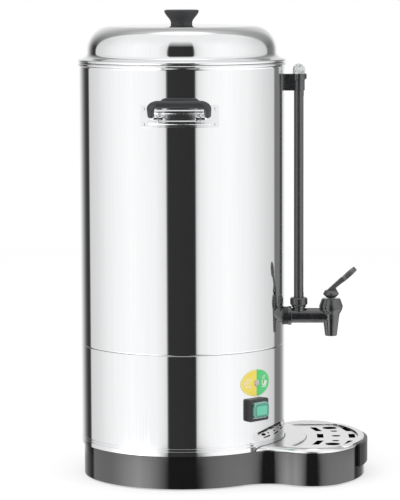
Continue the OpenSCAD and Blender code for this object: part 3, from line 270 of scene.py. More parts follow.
def tray_loop(bm, z, inset=0.0, tip_r=MOUTH_TIP_R, corner=5.0):
    """The outline of the tray's opening at a height, moved inwards, with rounded corners."""
    before = set(bm.edges)
    side, inner, outer = MOUTH_HALF_W - inset, LAND_R + inset, tip_r - inset
    a_in, a_out = math.degrees(math.asin(side / inner)), math.degrees(math.asin(side / outer))
    chain = trail(bm, (inner, 0, z), [
        ((0, 0, z), a_in, 16), (TIP.x + outer * math.cos(math.radians(a_out)), side, z), ((*TIP, z), -a_out, 16)])
    bmesh.ops.bevel(bm, geom=chain[1:3], offset=corner, offset_type="OFFSET", segments=5, profile=0.5,
                    affect="VERTICES", material=-1)
    return half_to_loop(bm, before)


def bridge(bm, *loops):
    for one, two in zip(loops, loops[1:]):
        bmesh.ops.bridge_loops(bm, edges=one + two)


def piece(name, bm, finish, body="urn", nodes=(), sharp=35, sheet=0.0, bevel=0.0):
    """Closes a mesh drawn in millimetres into an object in metres that rides on its CAD body."""
    bmesh.ops.remove_doubles(bm, verts=bm.verts, dist=1e-3)
    bmesh.ops.recalc_face_normals(bm, faces=bm.faces)
    bmesh.ops.scale(bm, vec=(MM, MM, MM), verts=bm.verts)
    for f in bm.faces:
        f.smooth = True
    for e in bm.edges:
        e.smooth = len(e.link_faces) == 2 and e.calc_face_angle(0) < math.radians(sharp)
    mesh = bpy.data.meshes.new(name)
    bm.to_mesh(mesh)
    bm.free()
    mesh.materials.append(finish)
    made = bpy.data.objects.new(name, mesh)
    bpy.context.scene.collection.objects.link(made)
    if sheet:
        wall = made.modifiers.new("wall", "SOLIDIFY")
        wall.thickness, wall.offset, wall.use_even_offset = sheet * MM, -1, True
    if bevel:
        edge = made.modifiers.new("edge", "BEVEL")
        edge.width, edge.segments, edge.limit_method, edge.angle_limit = bevel * MM, 2, "ANGLE", math.radians(40)
    # wide faces keep their own normals beside narrow rounded edges
    made.modifiers.new("normals", "WEIGHTED_NORMAL").keep_sharp = True
    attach(made, body)
    if nodes:
        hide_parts(*nodes)
    return made


# Glossy black ABS: near-black with a hard clear shine that mirrors the studio,
# very slightly wavy from the mould, with faint dust in the gloss.
gloss_black, tree, shader, coords = new_finish("glossy_black_abs", "#161617", 0.06, IOR=1.60, Specular_IOR_Level=1.0)
sink = add(tree, "TexNoise", {"Vector": coords, "Scale": 26.0, "Detail": 2.0})
dust = add(tree, "TexNoise", {"Vector": coords, "Scale": 700.0, "Detail": 4.0, "Roughness": 0.65})
haze = add(tree, "MapRange", {0: dust.outputs[0], 1: 0.35, 2: 0.8, 3: 0.04, 4: 0.09})
tree.links.new(haze.outputs[0], shader.inputs["Roughness"])
tone = add(tree, "ValToRGB", {0: dust.outputs[0]}, stops=[(0.3, linear("#141415")), (0.8, linear("#1d1d1f"))])
tree.links.new(tone.outputs[0], shader.inputs["Base Color"])
wave = add(tree, "Bump", {"Height": sink.outputs[0], "Strength": 0.05, "Distance": 0.0006})
tree.links.new(wave.outputs[0], shader.inputs["Normal"])

bm = bmesh.new()
rows = [base_loop(bm, z, inset) for z, inset in [
    (BASE_TOP - 6, 3.0), (BASE_Z0, 3.0), (BASE_Z0, 0.7), (BASE_Z0 + 0.2, 0.2), (BASE_Z0 + 0.7, 0.0),
    (BASE_Z0 + 1.2, 0.0), (BASE_TOP - 1.3, 0.0), (BASE_TOP - 0.8, 0.0), (BASE_TOP - 0.24, 0.24), (BASE_TOP, 0.8)]]
bridge(bm, *rows)
WELL_GAP, TIP_WALL, SERVICE_R = 1.1, 4.2, 58
opening = tray_loop(bm, BASE_TOP, inset=-WELL_GAP, tip_r=TIP_R - TIP_WALL - WELL_GAP, corner=6)
service = bmesh.ops.create_circle(bm, segments=64, radius=SERVICE_R, matrix=Matrix.Translation((0, 0, BASE_TOP)))
ring = list({e for v in service["verts"] for e in v.link_edges})
bmesh.ops.triangle_fill(bm, edges=rows[-1] + opening + ring, use_beauty=True)
piece("base_moulding", bm, gloss_black, nodes=["base_housing"], sharp=28)

# ---- Bottom plate, feet and screws -------------------------------------------
# A plain galvanised steel plate screwed up into the base, with rubber feet
# pressed into it. They keep their CAD solids.
galvanised, tree, shader, coords = new_finish("galvanised_steel", "#a9adb0", 0.42, Metallic=1.0)
spangle = add(tree, "TexVoronoi", {"Vector": coords, "Scale": 130.0})
tone = add(tree, "ValToRGB", {0: spangle.outputs["Color"]}, stops=[(0.1, linear("#9a9ea1")), (0.9, linear("#b9bcbf"))])
tree.links.new(tone.outputs[0], shader.inputs["Base Color"])
rubber, tree, shader, coords = new_finish("moulded_black_rubber", "#1b1b1c", 0.75)
grain = add(tree, "TexNoise", {"Vector": coords, "Scale": 900.0, "Detail": 4.0})
skin = add(tree, "Bump", {"Height": grain.outputs[0], "Strength": 0.3, "Distance": 0.0002})
tree.links.new(skin.outputs[0], shader.inputs["Normal"])
zinc, tree, shader, coords = new_finish("bright_zinc_plate", "#c9ccce", 0.26, Metallic=1.0)
cloud = add(tree, "TexNoise", {"Vector": coords, "Scale": 420.0, "Detail": 3.0})
haze = add(tree, "MapRange", {0: cloud.outputs[0], 1: 0.3, 2: 0.7, 3: 0.20, 4: 0.36})
tree.links.new(haze.outputs[0], shader.inputs["Roughness"])


def dress(finish, *names):
    """Gives CAD nodes that stay as they are their material."""
    for name in names:
        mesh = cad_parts[name].data
        mesh.materials.clear()
        mesh.materials.append(finish)


dress(galvanised, "bottom_plate", "tie_strap")
dress(rubber, "rubber_feet")
dress(zinc, "base_screws", "tie_stud", "tie_nut", "knob_screw", "gauge_screw")

# ---- Steel deck ----------------------------------------------------------------
# Pressed stainless sheet over the tray part: a land round the body, a rolled rim
# and the deep well that the drip tray stands in.
DECK_TOP, DECK_LOW, GRATE_Z, WELL_FLOOR = 47.5, 46.2, 43.7, 13.7
WELL_TIP_R, BODY_FLANGE_R = TIP_R - 4.1, 126.2
LOW_HALF_W, FALL_W = 79, 20
# Satin stainless steel: pale, softly blurred, with fine grinding lines.
satin_steel, tree, shader, coords = new_finish("satin_stainless_steel", "#f7f7f8", 0.22, Metallic=1.0)
# lines 0.8 mm apart, coarser than the real grit so that they show
lay = add(tree, "Mapping", {"Vector": coords, "Scale": (60, 1250, 300)})
lines = add(tree, "TexNoise", {"Vector": lay.outputs[0], "Scale": 1.0, "Detail": 3.0})
haze = add(tree, "MapRange", {0: lines.outputs[0], 1: 0.3, 2: 0.7, 3: 0.16, 4: 0.30})
tree.links.new(haze.outputs[0], shader.inputs["Roughness"])
brush = add(tree, "Bump", {"Height": lines.outputs[0], "Strength": 0.06, "Distance": 0.0001})
tree.links.new(brush.outputs[0], shader.inputs["Normal"])


def deck_loop(bm, z, inset):
    """The deck's outline: the base's outline ahead of the body, closed along the body."""
    before = set(bm.edges)
    reach, bend = NECK.length, NECK_R + inset
    swing = math.degrees(math.acos((reach ** 2 + bend ** 2 - BODY_FLANGE_R ** 2) / (2 * reach * bend)))
    a_start = bearing_of(NECK) + 180 + swing
    start = NECK + bend * Vector((math.cos(math.radians(a_start)), math.sin(math.radians(a_start))))
    a_join, a_shoulder = bearing_of(SHOULDER - NECK), bearing_of(SHOULDER - TIP)
    trail(bm, (*start, z), [
        ((*NECK, z), (a_join - a_start) % 360, 14),
        ((*SHOULDER, z), -((a_join + 180 - a_shoulder) % 360), 26),
        ((*TIP, z), -a_shoulder, 22)])
    trail(bm, (*start, z), [((0, 0, z), -bearing_of(start), 22)])
    return half_to_loop(bm, before)


bm = bmesh.new()
# the rolled rim, a wide soft edge
wall = [deck_loop(bm, BASE_TOP + z, inset) for z, inset in [
    (0.05, 0.1), (0.9, 0.1), (1.9, 0.5), (3.1, 1.3), (4.3, 2.6), (5.2, 4.2), (5.8, 6.2), (6.0, 8.2)]]
bridge(bm, *wall)
mouth = tray_loop(bm, DECK_TOP, inset=-0.9)
bmesh.ops.triangle_fill(bm, edges=wall[-1] + mouth, use_beauty=True)
well = [tray_loop(bm, z, inset=inset, tip_r=tip_r) for z, inset, tip_r in [
    (DECK_TOP - 0.3, -0.25, MOUTH_TIP_R), (DECK_TOP - 0.9, 0.0, MOUTH_TIP_R), (BASE_TOP, 0.0, MOUTH_TIP_R),
    (BASE_TOP - 0.1, 0.0, WELL_TIP_R), (WELL_FLOOR + 2, 0.0, WELL_TIP_R), (WELL_FLOOR, 2.0, WELL_TIP_R)]]
bridge(bm, mouth, *well)
bmesh.ops.contextual_create(bm, geom=well[-1])
# the pressing lies lower between two lines along X, where the grate is
for y in (-LOW_HALF_W - FALL_W, -LOW_HALF_W, LOW_HALF_W, LOW_HALF_W + FALL_W):
    bmesh.ops.bisect_plane(bm, geom=bm.verts[:] + bm.edges[:] + bm.faces[:],
                           plane_co=(0, y, 0), plane_no=(0, 1, 0))
for v in bm.verts:
    if v.co.z > BASE_TOP + 0.1:
        share = min(1, max(0, (LOW_HALF_W + FALL_W - abs(v.co.y)) / FALL_W))
        v.co.z -= (v.co.z - BASE_TOP) * share * (DECK_TOP - DECK_LOW) / (DECK_TOP - BASE_TOP)
piece("deck_pressing", bm, satin_steel, nodes=["deck_cover"], sharp=50)

# ---- Drip tray -------------------------------------------------------------------
# Satin black moulded tub that stands in the deck's well. At the tip a grip hooks
# over the base's wall, so that it is lifted out by hand.
TRAY_IN = 0.5
GRIP_HALF_W, GRIP_IN_R, GRIP_OUT_R, GRIP_FOOT = 55, TIP_R + 0.4, TIP_R + 3.6, BASE_TOP - 25
# Satin black ABS: a spark-eroded grain, drawn 0.7 mm wide so that it shows, softens its shine.
satin_black, tree, shader, coords = new_finish("satin_black_abs", "#1d1e20", 0.34)
grain = add(tree, "TexNoise", {"Vector": coords, "Scale": 1500.0, "Detail": 4.0})
skin = add(tree, "Bump", {"Height": grain.outputs[0], "Strength": 0.12, "Distance": 0.0001})
tree.links.new(skin.outputs[0], shader.inputs["Normal"])
tone = add(tree, "ValToRGB", {0: grain.outputs[0]}, stops=[(0.3, linear("#1a1b1d")), (0.7, linear("#232427"))])
tree.links.new(tone.outputs[0], shader.inputs["Base Color"])

bm = bmesh.new()
tub = [tray_loop(bm, z, inset=TRAY_IN + inset, tip_r=WELL_TIP_R) for z, inset in [
    (WELL_FLOOR + 0.1, 2.2), (WELL_FLOOR + 2.3, 0.0), (GRATE_Z - 0.3, 0.0), (GRATE_Z, 0.3), (GRATE_Z, 1.5),
    (GRATE_Z - 0.3, 1.8), (WELL_FLOOR + 4, 1.8), (WELL_FLOOR + 1.9, 4.0)]]
bridge(bm, *tub)
bmesh.ops.contextual_create(bm, geom=tub[0])
bmesh.ops.contextual_create(bm, geom=tub[-1])
# the grip: a section swung about the centre of the tip's arc
grip_half = math.asin(GRIP_HALF_W / GRIP_OUT_R)
section = [(TIP_R - 5, GRATE_Z), (GRIP_OUT_R, GRATE_Z), (GRIP_OUT_R, GRIP_FOOT), (GRIP_IN_R, GRIP_FOOT),
           (GRIP_IN_R, BASE_TOP + 0.3), (TIP_R - 5, BASE_TOP + 0.3)]
marks = [bm.verts.new((TIP.x + r, 0, z)) for r, z in section]
face = bm.faces.new(marks)
bmesh.ops.rotate(bm, cent=(*TIP, 0), matrix=Matrix.Rotation(-grip_half, 3, "Z"), verts=marks)
bmesh.ops.spin(bm, geom=[face] + marks + list(face.edges), cent=(*TIP, 0), axis=(0, 0, 1), angle=2 * grip_half,
               steps=20)
piece("drip_tub", bm, satin_black, body="tray", nodes=["drip_tray"], bevel=0.5)

# ---- Drip grate ------------------------------------------------------------------
# A flat stainless plate that lies on the tray's rim, stamped with round holes and
# slots. Its middle has one plain round hole.
bright_plate, tree, shader, coords = new_finish("stamped_stainless_plate", "#ffffff", 0.30, Metallic=1.0)
lay = add(tree, "Mapping", {"Vector": coords, "Scale": (70, 1400, 300)})
lines = add(tree, "TexNoise", {"Vector": lay.outputs[0], "Scale": 1.0, "Detail": 3.0})
haze = add(tree, "MapRange", {0: lines.outputs[0], 1: 0.3, 2: 0.7, 3: 0.20, 4: 0.32})
tree.links.new(haze.outputs[0], shader.inputs["Roughness"])
# painted shade in the holes: the sheared edges of the holes, duller than the face, are painted dark up to just under
# the upper face
GRATE_SHEET, HOLE_SHADE_TO = 0.8, GRATE_Z + 0.6
depth = add(tree, "SeparateXYZ", {0: coords})
hole_wall_shade = add(tree, "Math", {0: depth.outputs["Z"], 1: HOLE_SHADE_TO * MM}, operation="LESS_THAN")
tone = add(tree, "Mix", {0: hole_wall_shade.outputs[0], 6: linear("#ffffff"), 7: linear("#3c3c3d")}, data_type="RGBA")
tree.links.new(tone.outputs[2], shader.inputs["Base Color"])


def slot_loop(bm, corners, z, corner=1.2, segments=3):
    """A polygon at a height, with rounded corners."""
    vs = [bm.verts.new((x, y, z)) for x, y in corners]
    es = [bm.edges.new((a, b)) for a, b in zip(vs, vs[1:] + vs[:1])]
    before = set(bm.edges) - set(es)
    bmesh.ops.bevel(bm, geom=vs, offset=corner, offset_type="OFFSET", segments=segments, profile=0.5,
                    affect="VERTICES", material=-1)
    return [e for e in bm.edges if e not in before]


def hole_loop(bm, x, y, r, z):
    made = bmesh.ops.create_circle(bm, segments=40, radius=r, matrix=Matrix.Translation((x, y, z)))
    return list({e for v in made["verts"] for e in v.link_edges})


bm = bmesh.new()
top_z = GRATE_Z + GRATE_SHEET
cuts = tray_loop(bm, top_z, inset=0.5)
# the pattern of the holes is centred on this place along X
PATTERN_X = 188.5
for s in (-1, 1):
    cuts += hole_loop(bm, PATTERN_X - 6, s * 55.5, 9.1, top_z)
    cuts += hole_loop(bm, PATTERN_X - 1.5, s * 33, 4.5, top_z)
    x = PATTERN_X + s * 19.5
    cuts += slot_loop(bm, [(x - 3.9, -13.5), (x + 3.9, -13.5), (x + 3.9, 13.5), (x - 3.9, 13.5)], top_z)
    for x, lean in ((PATTERN_X - 23.5, 3.7), (PATTERN_X + 14.5, 3.4)):
        far, near = s * 60, s * 32
        cuts += slot_loop(bm, [(x - 4 - lean, far), (x + 4 - lean, far), (x + 4 + lean, near), (x - 4 + lean, near)],
                          top_z)
cuts += hole_loop(bm, PATTERN_X, 0, 5.5, top_z)
bmesh.ops.triangle_fill(bm, edges=cuts, use_beauty=True)
piece("grate_plate", bm, bright_plate, body="grate", nodes=["drip_grate"], sheet=GRATE_SHEET,
      bevel=0.15)

# ---- Lower shell -------------------------------------------------------------------
# The steel skirt between base and tank, rolled from sheet and mirror polished,
# with two raised beads at its foot. It hides the heating parts.
SEAM_Z = 162.5
LOW_BEAD, HIGH_BEAD, BEAD_R = 47.5, 50.7, 0.9
# Mirror-polished stainless steel: shows the studio sharply, with the faint
# upright lay of the polishing wheel and a slight waviness of thin sheet.
mirror_steel, tree, shader, coords = new_finish("mirror_polished_stainless", "#eeeff0", 0.05, Metallic=1.0)
# polishing lay drawn 1.5 mm wide, coarser than real, so that it shows
lay = add(tree, "Mapping", {"Vector": coords, "Scale": (650, 650, 9)})
wheel = add(tree, "TexNoise", {"Vector": lay.outputs[0], "Scale": 1.0, "Detail": 2.0})
haze = add(tree, "MapRange", {0: wheel.outputs[0], 1: 0.3, 2: 0.75, 3: 0.022, 4: 0.05})
tree.links.new(haze.outputs[0], shader.inputs["Roughness"])
tone = add(tree, "ValToRGB", {0: wheel.outputs[0]}, stops=[(0.3, linear("#edeeef")), (0.7, linear("#f1f1f2"))])
tree.links.new(tone.outputs[0], shader.inputs["Base Color"])
swell = add(tree, "TexNoise", {"Vector": coords, "Scale": 9.0, "Detail": 1.0})
bent = add(tree, "Bump", {"Height": swell.outputs[0], "Strength": 0.03, "Distance": 0.0015})
tree.links.new(bent.outputs[0], shader.inputs["Normal"])


def upright_trail(bm, start, moves):
    """A chain of edges drawn in the XZ plane. In it an arc turns clockwise, from +z towards +x."""
    trail(bm, (start[0], 0, start[1]),
          [((m[0][0], 0, m[0][1]), m[1], m[2]) if len(m) == 3 else (m[0], 0, m[1]) for m in moves], axis=(0, 1, 0))


def lathe(bm, start, moves, steps=96):
    """Turns a section, drawn as radii and heights, about the Z axis."""
    before = set(bm.verts)
    upright_trail(bm, start, moves)
    fresh = [v for v in bm.verts if v not in before]
    edges = list({e for v in fresh for e in v.link_edges})
    bmesh.ops.spin(bm, geom=fresh + edges, cent=(0, 0, 0), axis=(0, 0, 1), angle=math.tau, steps=steps,
                   use_merge=True)


# the switch's bearing and height, and half the height and width (in degrees) of the hole behind it
SWITCH_A, SWITCH_Z, HOLE_HALF_H, HOLE_HALF_A = 45.3, 92.5, 11, 6.0
bm = bmesh.new()
lathe(bm, (BODY_R - 4, BASE_TOP + 0.05), [
    (BODY_R, BASE_TOP + 0.05), (BODY_R, LOW_BEAD - BEAD_R - 0.7), (BODY_R, LOW_BEAD - BEAD_R),
    ((BODY_R, LOW_BEAD), 180, 8), (BODY_R, HIGH_BEAD - BEAD_R), ((BODY_R, HIGH_BEAD), 180, 8), (BODY_R, 52.4),
    (BODY_R, SWITCH_Z - HOLE_HALF_H - 0.5), (BODY_R, SWITCH_Z - HOLE_HALF_H), (BODY_R, SWITCH_Z + HOLE_HALF_H),
    (BODY_R, SWITCH_Z + HOLE_HALF_H + 0.5), (BODY_R, SEAM_Z - 1.5), (BODY_R, SEAM_Z - 0.9),
    (BODY_R - 0.25, SEAM_Z - 0.4), (BODY_R - 0.7, SEAM_Z - 0.1), (BODY_R - 1.6, SEAM_Z)], steps=288)
hidden = []
for f in bm.faces:
    middle = f.calc_center_median()
    aside = math.degrees(math.atan2(middle.x, -middle.y)) - SWITCH_A
    if abs(middle.z - SWITCH_Z) < HOLE_HALF_H and abs(aside) < HOLE_HALF_A:
        hidden.append(f)
bmesh.ops.delete(bm, geom=hidden, context="FACES")
piece("lower_shell_skin", bm, mirror_steel, nodes=["lower_shell"], sheet=0.8)

# ---- Tank ----------------------------------------------------------------------------
# The water tank, open at the top: mirror-polished sheet outside, satin inside,
# its mouth rolled over a wire and its dished floor welded in.
RIM_Z, TANK_IN_R, FLOOR_Z = 503.5, BODY_R - 0.85, 169.0
bm = bmesh.new()
lathe(bm, (BODY_R - 1.6, SEAM_Z + 0.15), [
    (BODY_R - 0.7, SEAM_Z + 0.2), (BODY_R - 0.25, SEAM_Z + 0.45), (BODY_R, SEAM_Z + 1.0),
    (BODY_R, SEAM_Z + 1.6), (BODY_R, 499.6), (BODY_R, 500.2),
    (BODY_R + 0.35, 501.35), ((BODY_R - 0.1, RIM_Z), -278, 28), (TANK_IN_R, 500.5), (TANK_IN_R, 499.5),
    (TANK_IN_R, FLOOR_Z + 7.6), (TANK_IN_R, FLOOR_Z + 7), (BODY_R - 4.5, FLOOR_Z + 2.5), (BODY_R - 8, FLOOR_Z + 0.2),
    (0, FLOOR_Z)], steps=288)
piece("tank_shell", bm, mirror_steel, nodes=["tank"], sharp=40)

# ---- Lid ------------------------------------------------------------------------------
# Spun stainless lid, mirror polished: a low crown, a wide rounded corner, a short
# upright wall and a rolled flange that lies on the tank's rim.
LID_Z, LID_TOP, LID_WALL, CORNER, CROWN_RISE = 506.0, 551.4, 115.5, 30.0, 1.9
SKIRT_IN_R, SKIRT_OUT_R = 120.7, 121.5
CROWN = (LID_WALL - CORNER, LID_TOP - CROWN_RISE - CORNER)
crown_r = (CROWN[0] ** 2 + CROWN_RISE ** 2) / (2 * CROWN_RISE)
a_crown = math.degrees(math.asin(CROWN[0] / crown_r))
bm = bmesh.new()
lathe(bm, (0, LID_TOP), [
    ((0, LID_TOP - crown_r), a_crown, 8), (CROWN, 90 - a_crown, 32), (LID_WALL, LID_Z + 12.6),
    (LID_WALL, LID_Z + 12), ((LID_WALL + 7, LID_Z + 12), -72, 10), (124.2, LID_Z + 3.8),
    ((124.8, LID_Z + 1.9), 290, 26)], steps=288)
lathe(bm, (SKIRT_IN_R, LID_Z + 3.6),
      [(SKIRT_IN_R, LID_Z - 7.5), (SKIRT_OUT_R, LID_Z - 7.5), (SKIRT_OUT_R, LID_Z + 3.6)], steps=288)
piece("lid_shell", bm, mirror_steel, body="lid", nodes=["lid"], sheet=0.6, sharp=40)

# ---- Lid knob ---------------------------------------------------------------------------
# A turned-looking phenolic knob: narrow neck, wide flat head, fixed from inside
# the lid by a screw. Dull black with a fine moulded skin.
phenolic, tree, shader, coords = new_finish("black_phenolic", "#242527", 0.42)
grain = add(tree, "TexNoise", {"Vector": coords, "Scale": 1100.0, "Detail": 5.0, "Roughness": 0.7})
tone = add(tree, "ValToRGB", {0: grain.outputs[0]}, stops=[(0.3, linear("#2c2d2f")), (0.75, linear("#3f4043"))])
tree.links.new(tone.outputs[0], shader.inputs["Base Color"])
haze = add(tree, "MapRange", {0: grain.outputs[0], 1: 0.3, 2: 0.7, 3: 0.34, 4: 0.50})
tree.links.new(haze.outputs[0], shader.inputs["Roughness"])
skin = add(tree, "Bump", {"Height": grain.outputs[0], "Strength": 0.15, "Distance": 0.0001})
tree.links.new(skin.outputs[0], shader.inputs["Normal"])

KNOB_R, KNOB_NECK, KNOB_H = 21.1, 13.3, 17.5
bm = bmesh.new()
lathe(bm, (0, LID_TOP + 0.02), [
    (KNOB_NECK, LID_TOP + 0.02), (KNOB_NECK - 0.3, LID_TOP + 0.8), (KNOB_NECK - 0.2, LID_TOP + 2.6),
    (KNOB_NECK + 0.5, LID_TOP + 4.6), (KNOB_NECK + 1.8, LID_TOP + 6.6), (KNOB_NECK + 3.6, LID_TOP + 8.7),
    (KNOB_NECK + 5.3, LID_TOP + 10.8), (KNOB_R - 1.2, LID_TOP + 12.8), (KNOB_R - 0.35, LID_TOP + 14.4),
    (KNOB_R, LID_TOP + KNOB_H - 2.2), ((KNOB_R - 2.2, LID_TOP + KNOB_H - 2.2), -90, 8),
    (6, LID_TOP + KNOB_H), (0, LID_TOP + KNOB_H - 0.3)], steps=128)
piece("knob_moulding", bm, phenolic, body="lid", nodes=["lid_knob"], sharp=50)

# ---- Handles ------------------------------------------------------------------------------
# Moulded phenolic grips pushed on to two chromed hooks, which are held fast in the
# lugs of a bright steel plate riveted to the tank.
def softened(node, finish, width, body="urn", sharp=30):
    """A copy of a CAD node with its sharp edges rounded, as its mould or die leaves them."""
    bm = bmesh.new()
    bm.from_mesh(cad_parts[node].data)
    bmesh.ops.scale(bm, vec=(1 / MM, 1 / MM, 1 / MM), verts=bm.verts)
    bmesh.ops.remove_doubles(bm, verts=bm.verts, dist=1e-3)
    bmesh.ops.dissolve_limit(bm, angle_limit=math.radians(0.3), verts=bm.verts, edges=bm.edges)
    bmesh.ops.recalc_face_normals(bm, faces=bm.faces)
    hard = [e for e in bm.edges if len(e.link_faces) == 2 and e.calc_face_angle(0) > math.radians(sharp)]
    bmesh.ops.bevel(bm, geom=hard, offset=width, offset_type="OFFSET", segments=2, profile=0.5, affect="EDGES",
                    material=-1)
    return piece(node + "_finished", bm, finish, body=body, nodes=[node], sharp=38)


chrome, tree, shader, coords = new_finish("bright_chrome_plate", "#e4e6e8", 0.06, Metallic=1.0)
cloud = add(tree, "TexNoise", {"Vector": coords, "Scale": 260.0, "Detail": 3.0})
haze = add(tree, "MapRange", {0: cloud.outputs[0], 1: 0.3, 2: 0.7, 3: 0.03, 4: 0.12})
tree.links.new(haze.outputs[0], shader.inputs["Roughness"])
# Pressed bright stainless: slightly hazy and wavy, as it leaves the press.
pressed, tree, shader, coords = new_finish("pressed_bright_stainless", "#e6e7e8", 0.15, Metallic=1.0)
ripple = add(tree, "TexNoise", {"Vector": coords, "Scale": 75.0, "Detail": 2.0})
haze = add(tree, "MapRange", {0: ripple.outputs[0], 1: 0.3, 2: 0.7, 3: 0.10, 4: 0.22})
tree.links.new(haze.outputs[0], shader.inputs["Roughness"])
bent = add(tree, "Bump", {"Height": ripple.outputs[0], "Strength": 0.22, "Distance": 0.0012})
tree.links.new(bent.outputs[0], shader.inputs["Normal"])
for way in ("front", "back"):
    softened("handle_bracket_" + way, pressed, 0.3)
    softened("handle_grip_" + way, phenolic, 0.9)
dress(chrome, "handle_rods_front", "handle_rods_back")
dress(pressed, "bracket_rivets")

# ---- Level gauge ----------------------------------------------------------------------------
# A glass tube in a black enamelled guard tube with a window towards the tap. A
# ribbed nut holds it below; a moulded bracket and a clear cap hold it above.
# Glossy black phenolic: deep black with a strong even shine, slightly blurred.
gloss_phenolic, tree, shader, coords = new_finish("glossy_black_phenolic", "#252628", 0.12, IOR=1.63,
                                                  Specular_IOR_Level=1.0)
flow = add(tree, "TexNoise", {"Vector": coords, "Scale": 160.0, "Detail": 4.0, "Roughness": 0.6})
haze = add(tree, "MapRange", {0: flow.outputs[0], 1: 0.3, 2: 0.7, 3: 0.11, 4: 0.24})
tree.links.new(haze.outputs[0], shader.inputs["Roughness"])
tone = add(tree, "ValToRGB", {0: flow.outputs[0]}, stops=[(0.3, linear("#212224")), (0.7, linear("#2c2d2f"))])
tree.links.new(tone.outputs[0], shader.inputs["Base Color"])
skin = add(tree, "Bump", {"Height": flow.outputs[0], "Strength": 0.08, "Distance": 0.0002})
tree.links.new(skin.outputs[0], shader.inputs["Normal"])
# Drawn borosilicate tube: clear, sharp highlights, a trace of grey-green.
glass, tree, shader, coords = new_finish("drawn_glass_tube", "#eef5f2", 0.0, IOR=1.47, Transmission_Weight=1.0)
draw = add(tree, "Mapping", {"Vector": coords, "Scale": (300, 300, 4)})
lines = add(tree, "TexNoise", {"Vector": draw.outputs[0], "Scale": 1.0})
bent = add(tree, "Bump", {"Height": lines.outputs[0], "Strength": 0.05, "Distance": 0.0002})
tree.links.new(bent.outputs[0], shader.inputs["Normal"])
# Clear moulded polycarbonate: glassy, its colour patched grey to near white by noise; the grey is painted reflection
# of dark surroundings, the white painted highlights.
clear, tree, shader, coords = new_finish("clear_polycarbonate_painted_reflections", "#eef0ef", 0.03, IOR=1.585, Transmission_Weight=0.85)
flow = add(tree, "TexNoise", {"Vector": coords, "Scale": 240.0, "Detail": 2.0})
tone = add(tree, "ValToRGB", {0: flow.outputs[0]}, stops=[(0.36, linear("#c3c7c6")), (0.55, linear("#f6f8f7"))])
tree.links.new(tone.outputs[0], shader.inputs["Base Color"])
bent = add(tree, "Bump", {"Height": flow.outputs[0], "Strength": 0.06, "Distance": 0.0003})
tree.links.new(bent.outputs[0], shader.inputs["Normal"])
# Silicone rubber: milky, soft highlight.
silicone, tree, shader, coords = new_finish("moulded_silicone", "#d8d8d2", 0.45, Subsurface_Weight=0.2)
cloud = add(tree, "TexNoise", {"Vector": coords, "Scale": 300.0, "Detail": 3.0})
tone = add(tree, "ValToRGB", {0: cloud.outputs[0]}, stops=[(0.3, linear("#d2d2cb")), (0.7, linear("#dfdfda"))])
tree.links.new(tone.outputs[0], shader.inputs["Base Color"])
softened("gauge_bracket", gloss_phenolic, 0.5)
softened("gauge_nut", gloss_phenolic, 0.3)
softened("gauge_cap", clear, 0.3)
dress(gloss_phenolic, "gauge_guard")
dress(glass, "gauge_glass")
dress(silicone, "gauge_seal")

# ---- Tap -------------------------------------------------------------------------------------
# Self-closing tap of moulded phenolic. Pressing its lever lifts a steel stem
# with a silicone seat cup against a spring inside the bonnet.
softened("tap_body", gloss_phenolic, 0.4)
softened("tap_bonnet", gloss_phenolic, 0.4)
# The lever is rubbed to a soft sheen by thumbs.
handled, tree, shader, coords = new_finish("hand_worn_phenolic", "#3d3e40", 0.42, IOR=1.63, Specular_IOR_Level=1.0)
wear = add(tree, "TexNoise", {"Vector": coords, "Scale": 210.0, "Detail": 4.0})
haze = add(tree, "MapRange", {0: wear.outputs[0], 1: 0.3, 2: 0.7, 3: 0.36, 4: 0.50})
tree.links.new(haze.outputs[0], shader.inputs["Roughness"])
softened("tap_lever", handled, 0.25, body="lever", sharp=50)
dress(gloss_phenolic, "tap_back_nut")
# Moulded EPDM washer: black, slightly oily shine from its polished mould.
washer, tree, shader, coords = new_finish("polish_moulded_epdm", "#2a2b2c", 0.2, IOR=1.52)
bloom = add(tree, "TexNoise", {"Vector": coords, "Scale": 240.0, "Detail": 3.0})
haze = add(tree, "MapRange", {0: bloom.outputs[0], 1: 0.3, 2: 0.7, 3: 0.14, 4: 0.28})
tree.links.new(haze.outputs[0], shader.inputs["Roughness"])
dress(washer, "tap_outer_seal")
dress(silicone, "tap_inner_seal", "tap_seat_cup")
# Ground stainless rod: fine rings round the stem from centreless grinding.
ground_steel, tree, shader, coords = new_finish("ground_stainless_steel", "#c4c7ca", 0.22, Metallic=1.0)
rings = add(tree, "Mapping", {"Vector": coords, "Scale": (60, 60, 2500)})
lines = add(tree, "TexNoise", {"Vector": rings.outputs[0], "Scale": 1.0, "Detail": 2.0})
haze = add(tree, "MapRange", {0: lines.outputs[0], 1: 0.3, 2: 0.7, 3: 0.16, 4: 0.30})
tree.links.new(haze.outputs[0], shader.inputs["Roughness"])
dress(ground_steel, "tap_stem", "lever_pin")
# the spring, with a mesh of its own
coil = softened("tap_spring", ground_steel, 0.1)
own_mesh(coil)

# ---- Switch ----------------------------------------------------------------------------------
# A lit rocker switch in a black frame, under a clear green splash-proof boot.
# Fine-grained black nylon frame: matt, a little grey where light grazes it.
nylon, tree, shader, coords = new_finish("black_nylon", "#313133", 0.42)
grain = add(tree, "TexNoise", {"Vector": coords, "Scale": 1600.0, "Detail": 4.0})
tone = add(tree, "ValToRGB", {0: grain.outputs[0]}, stops=[(0.3, linear("#2c2c2e")), (0.7, linear("#39393b"))])
tree.links.new(tone.outputs[0], shader.inputs["Base Color"])
skin = add(tree, "Bump", {"Height": grain.outputs[0], "Strength": 0.15, "Distance": 0.0001})
tree.links.new(skin.outputs[0], shader.inputs["Normal"])
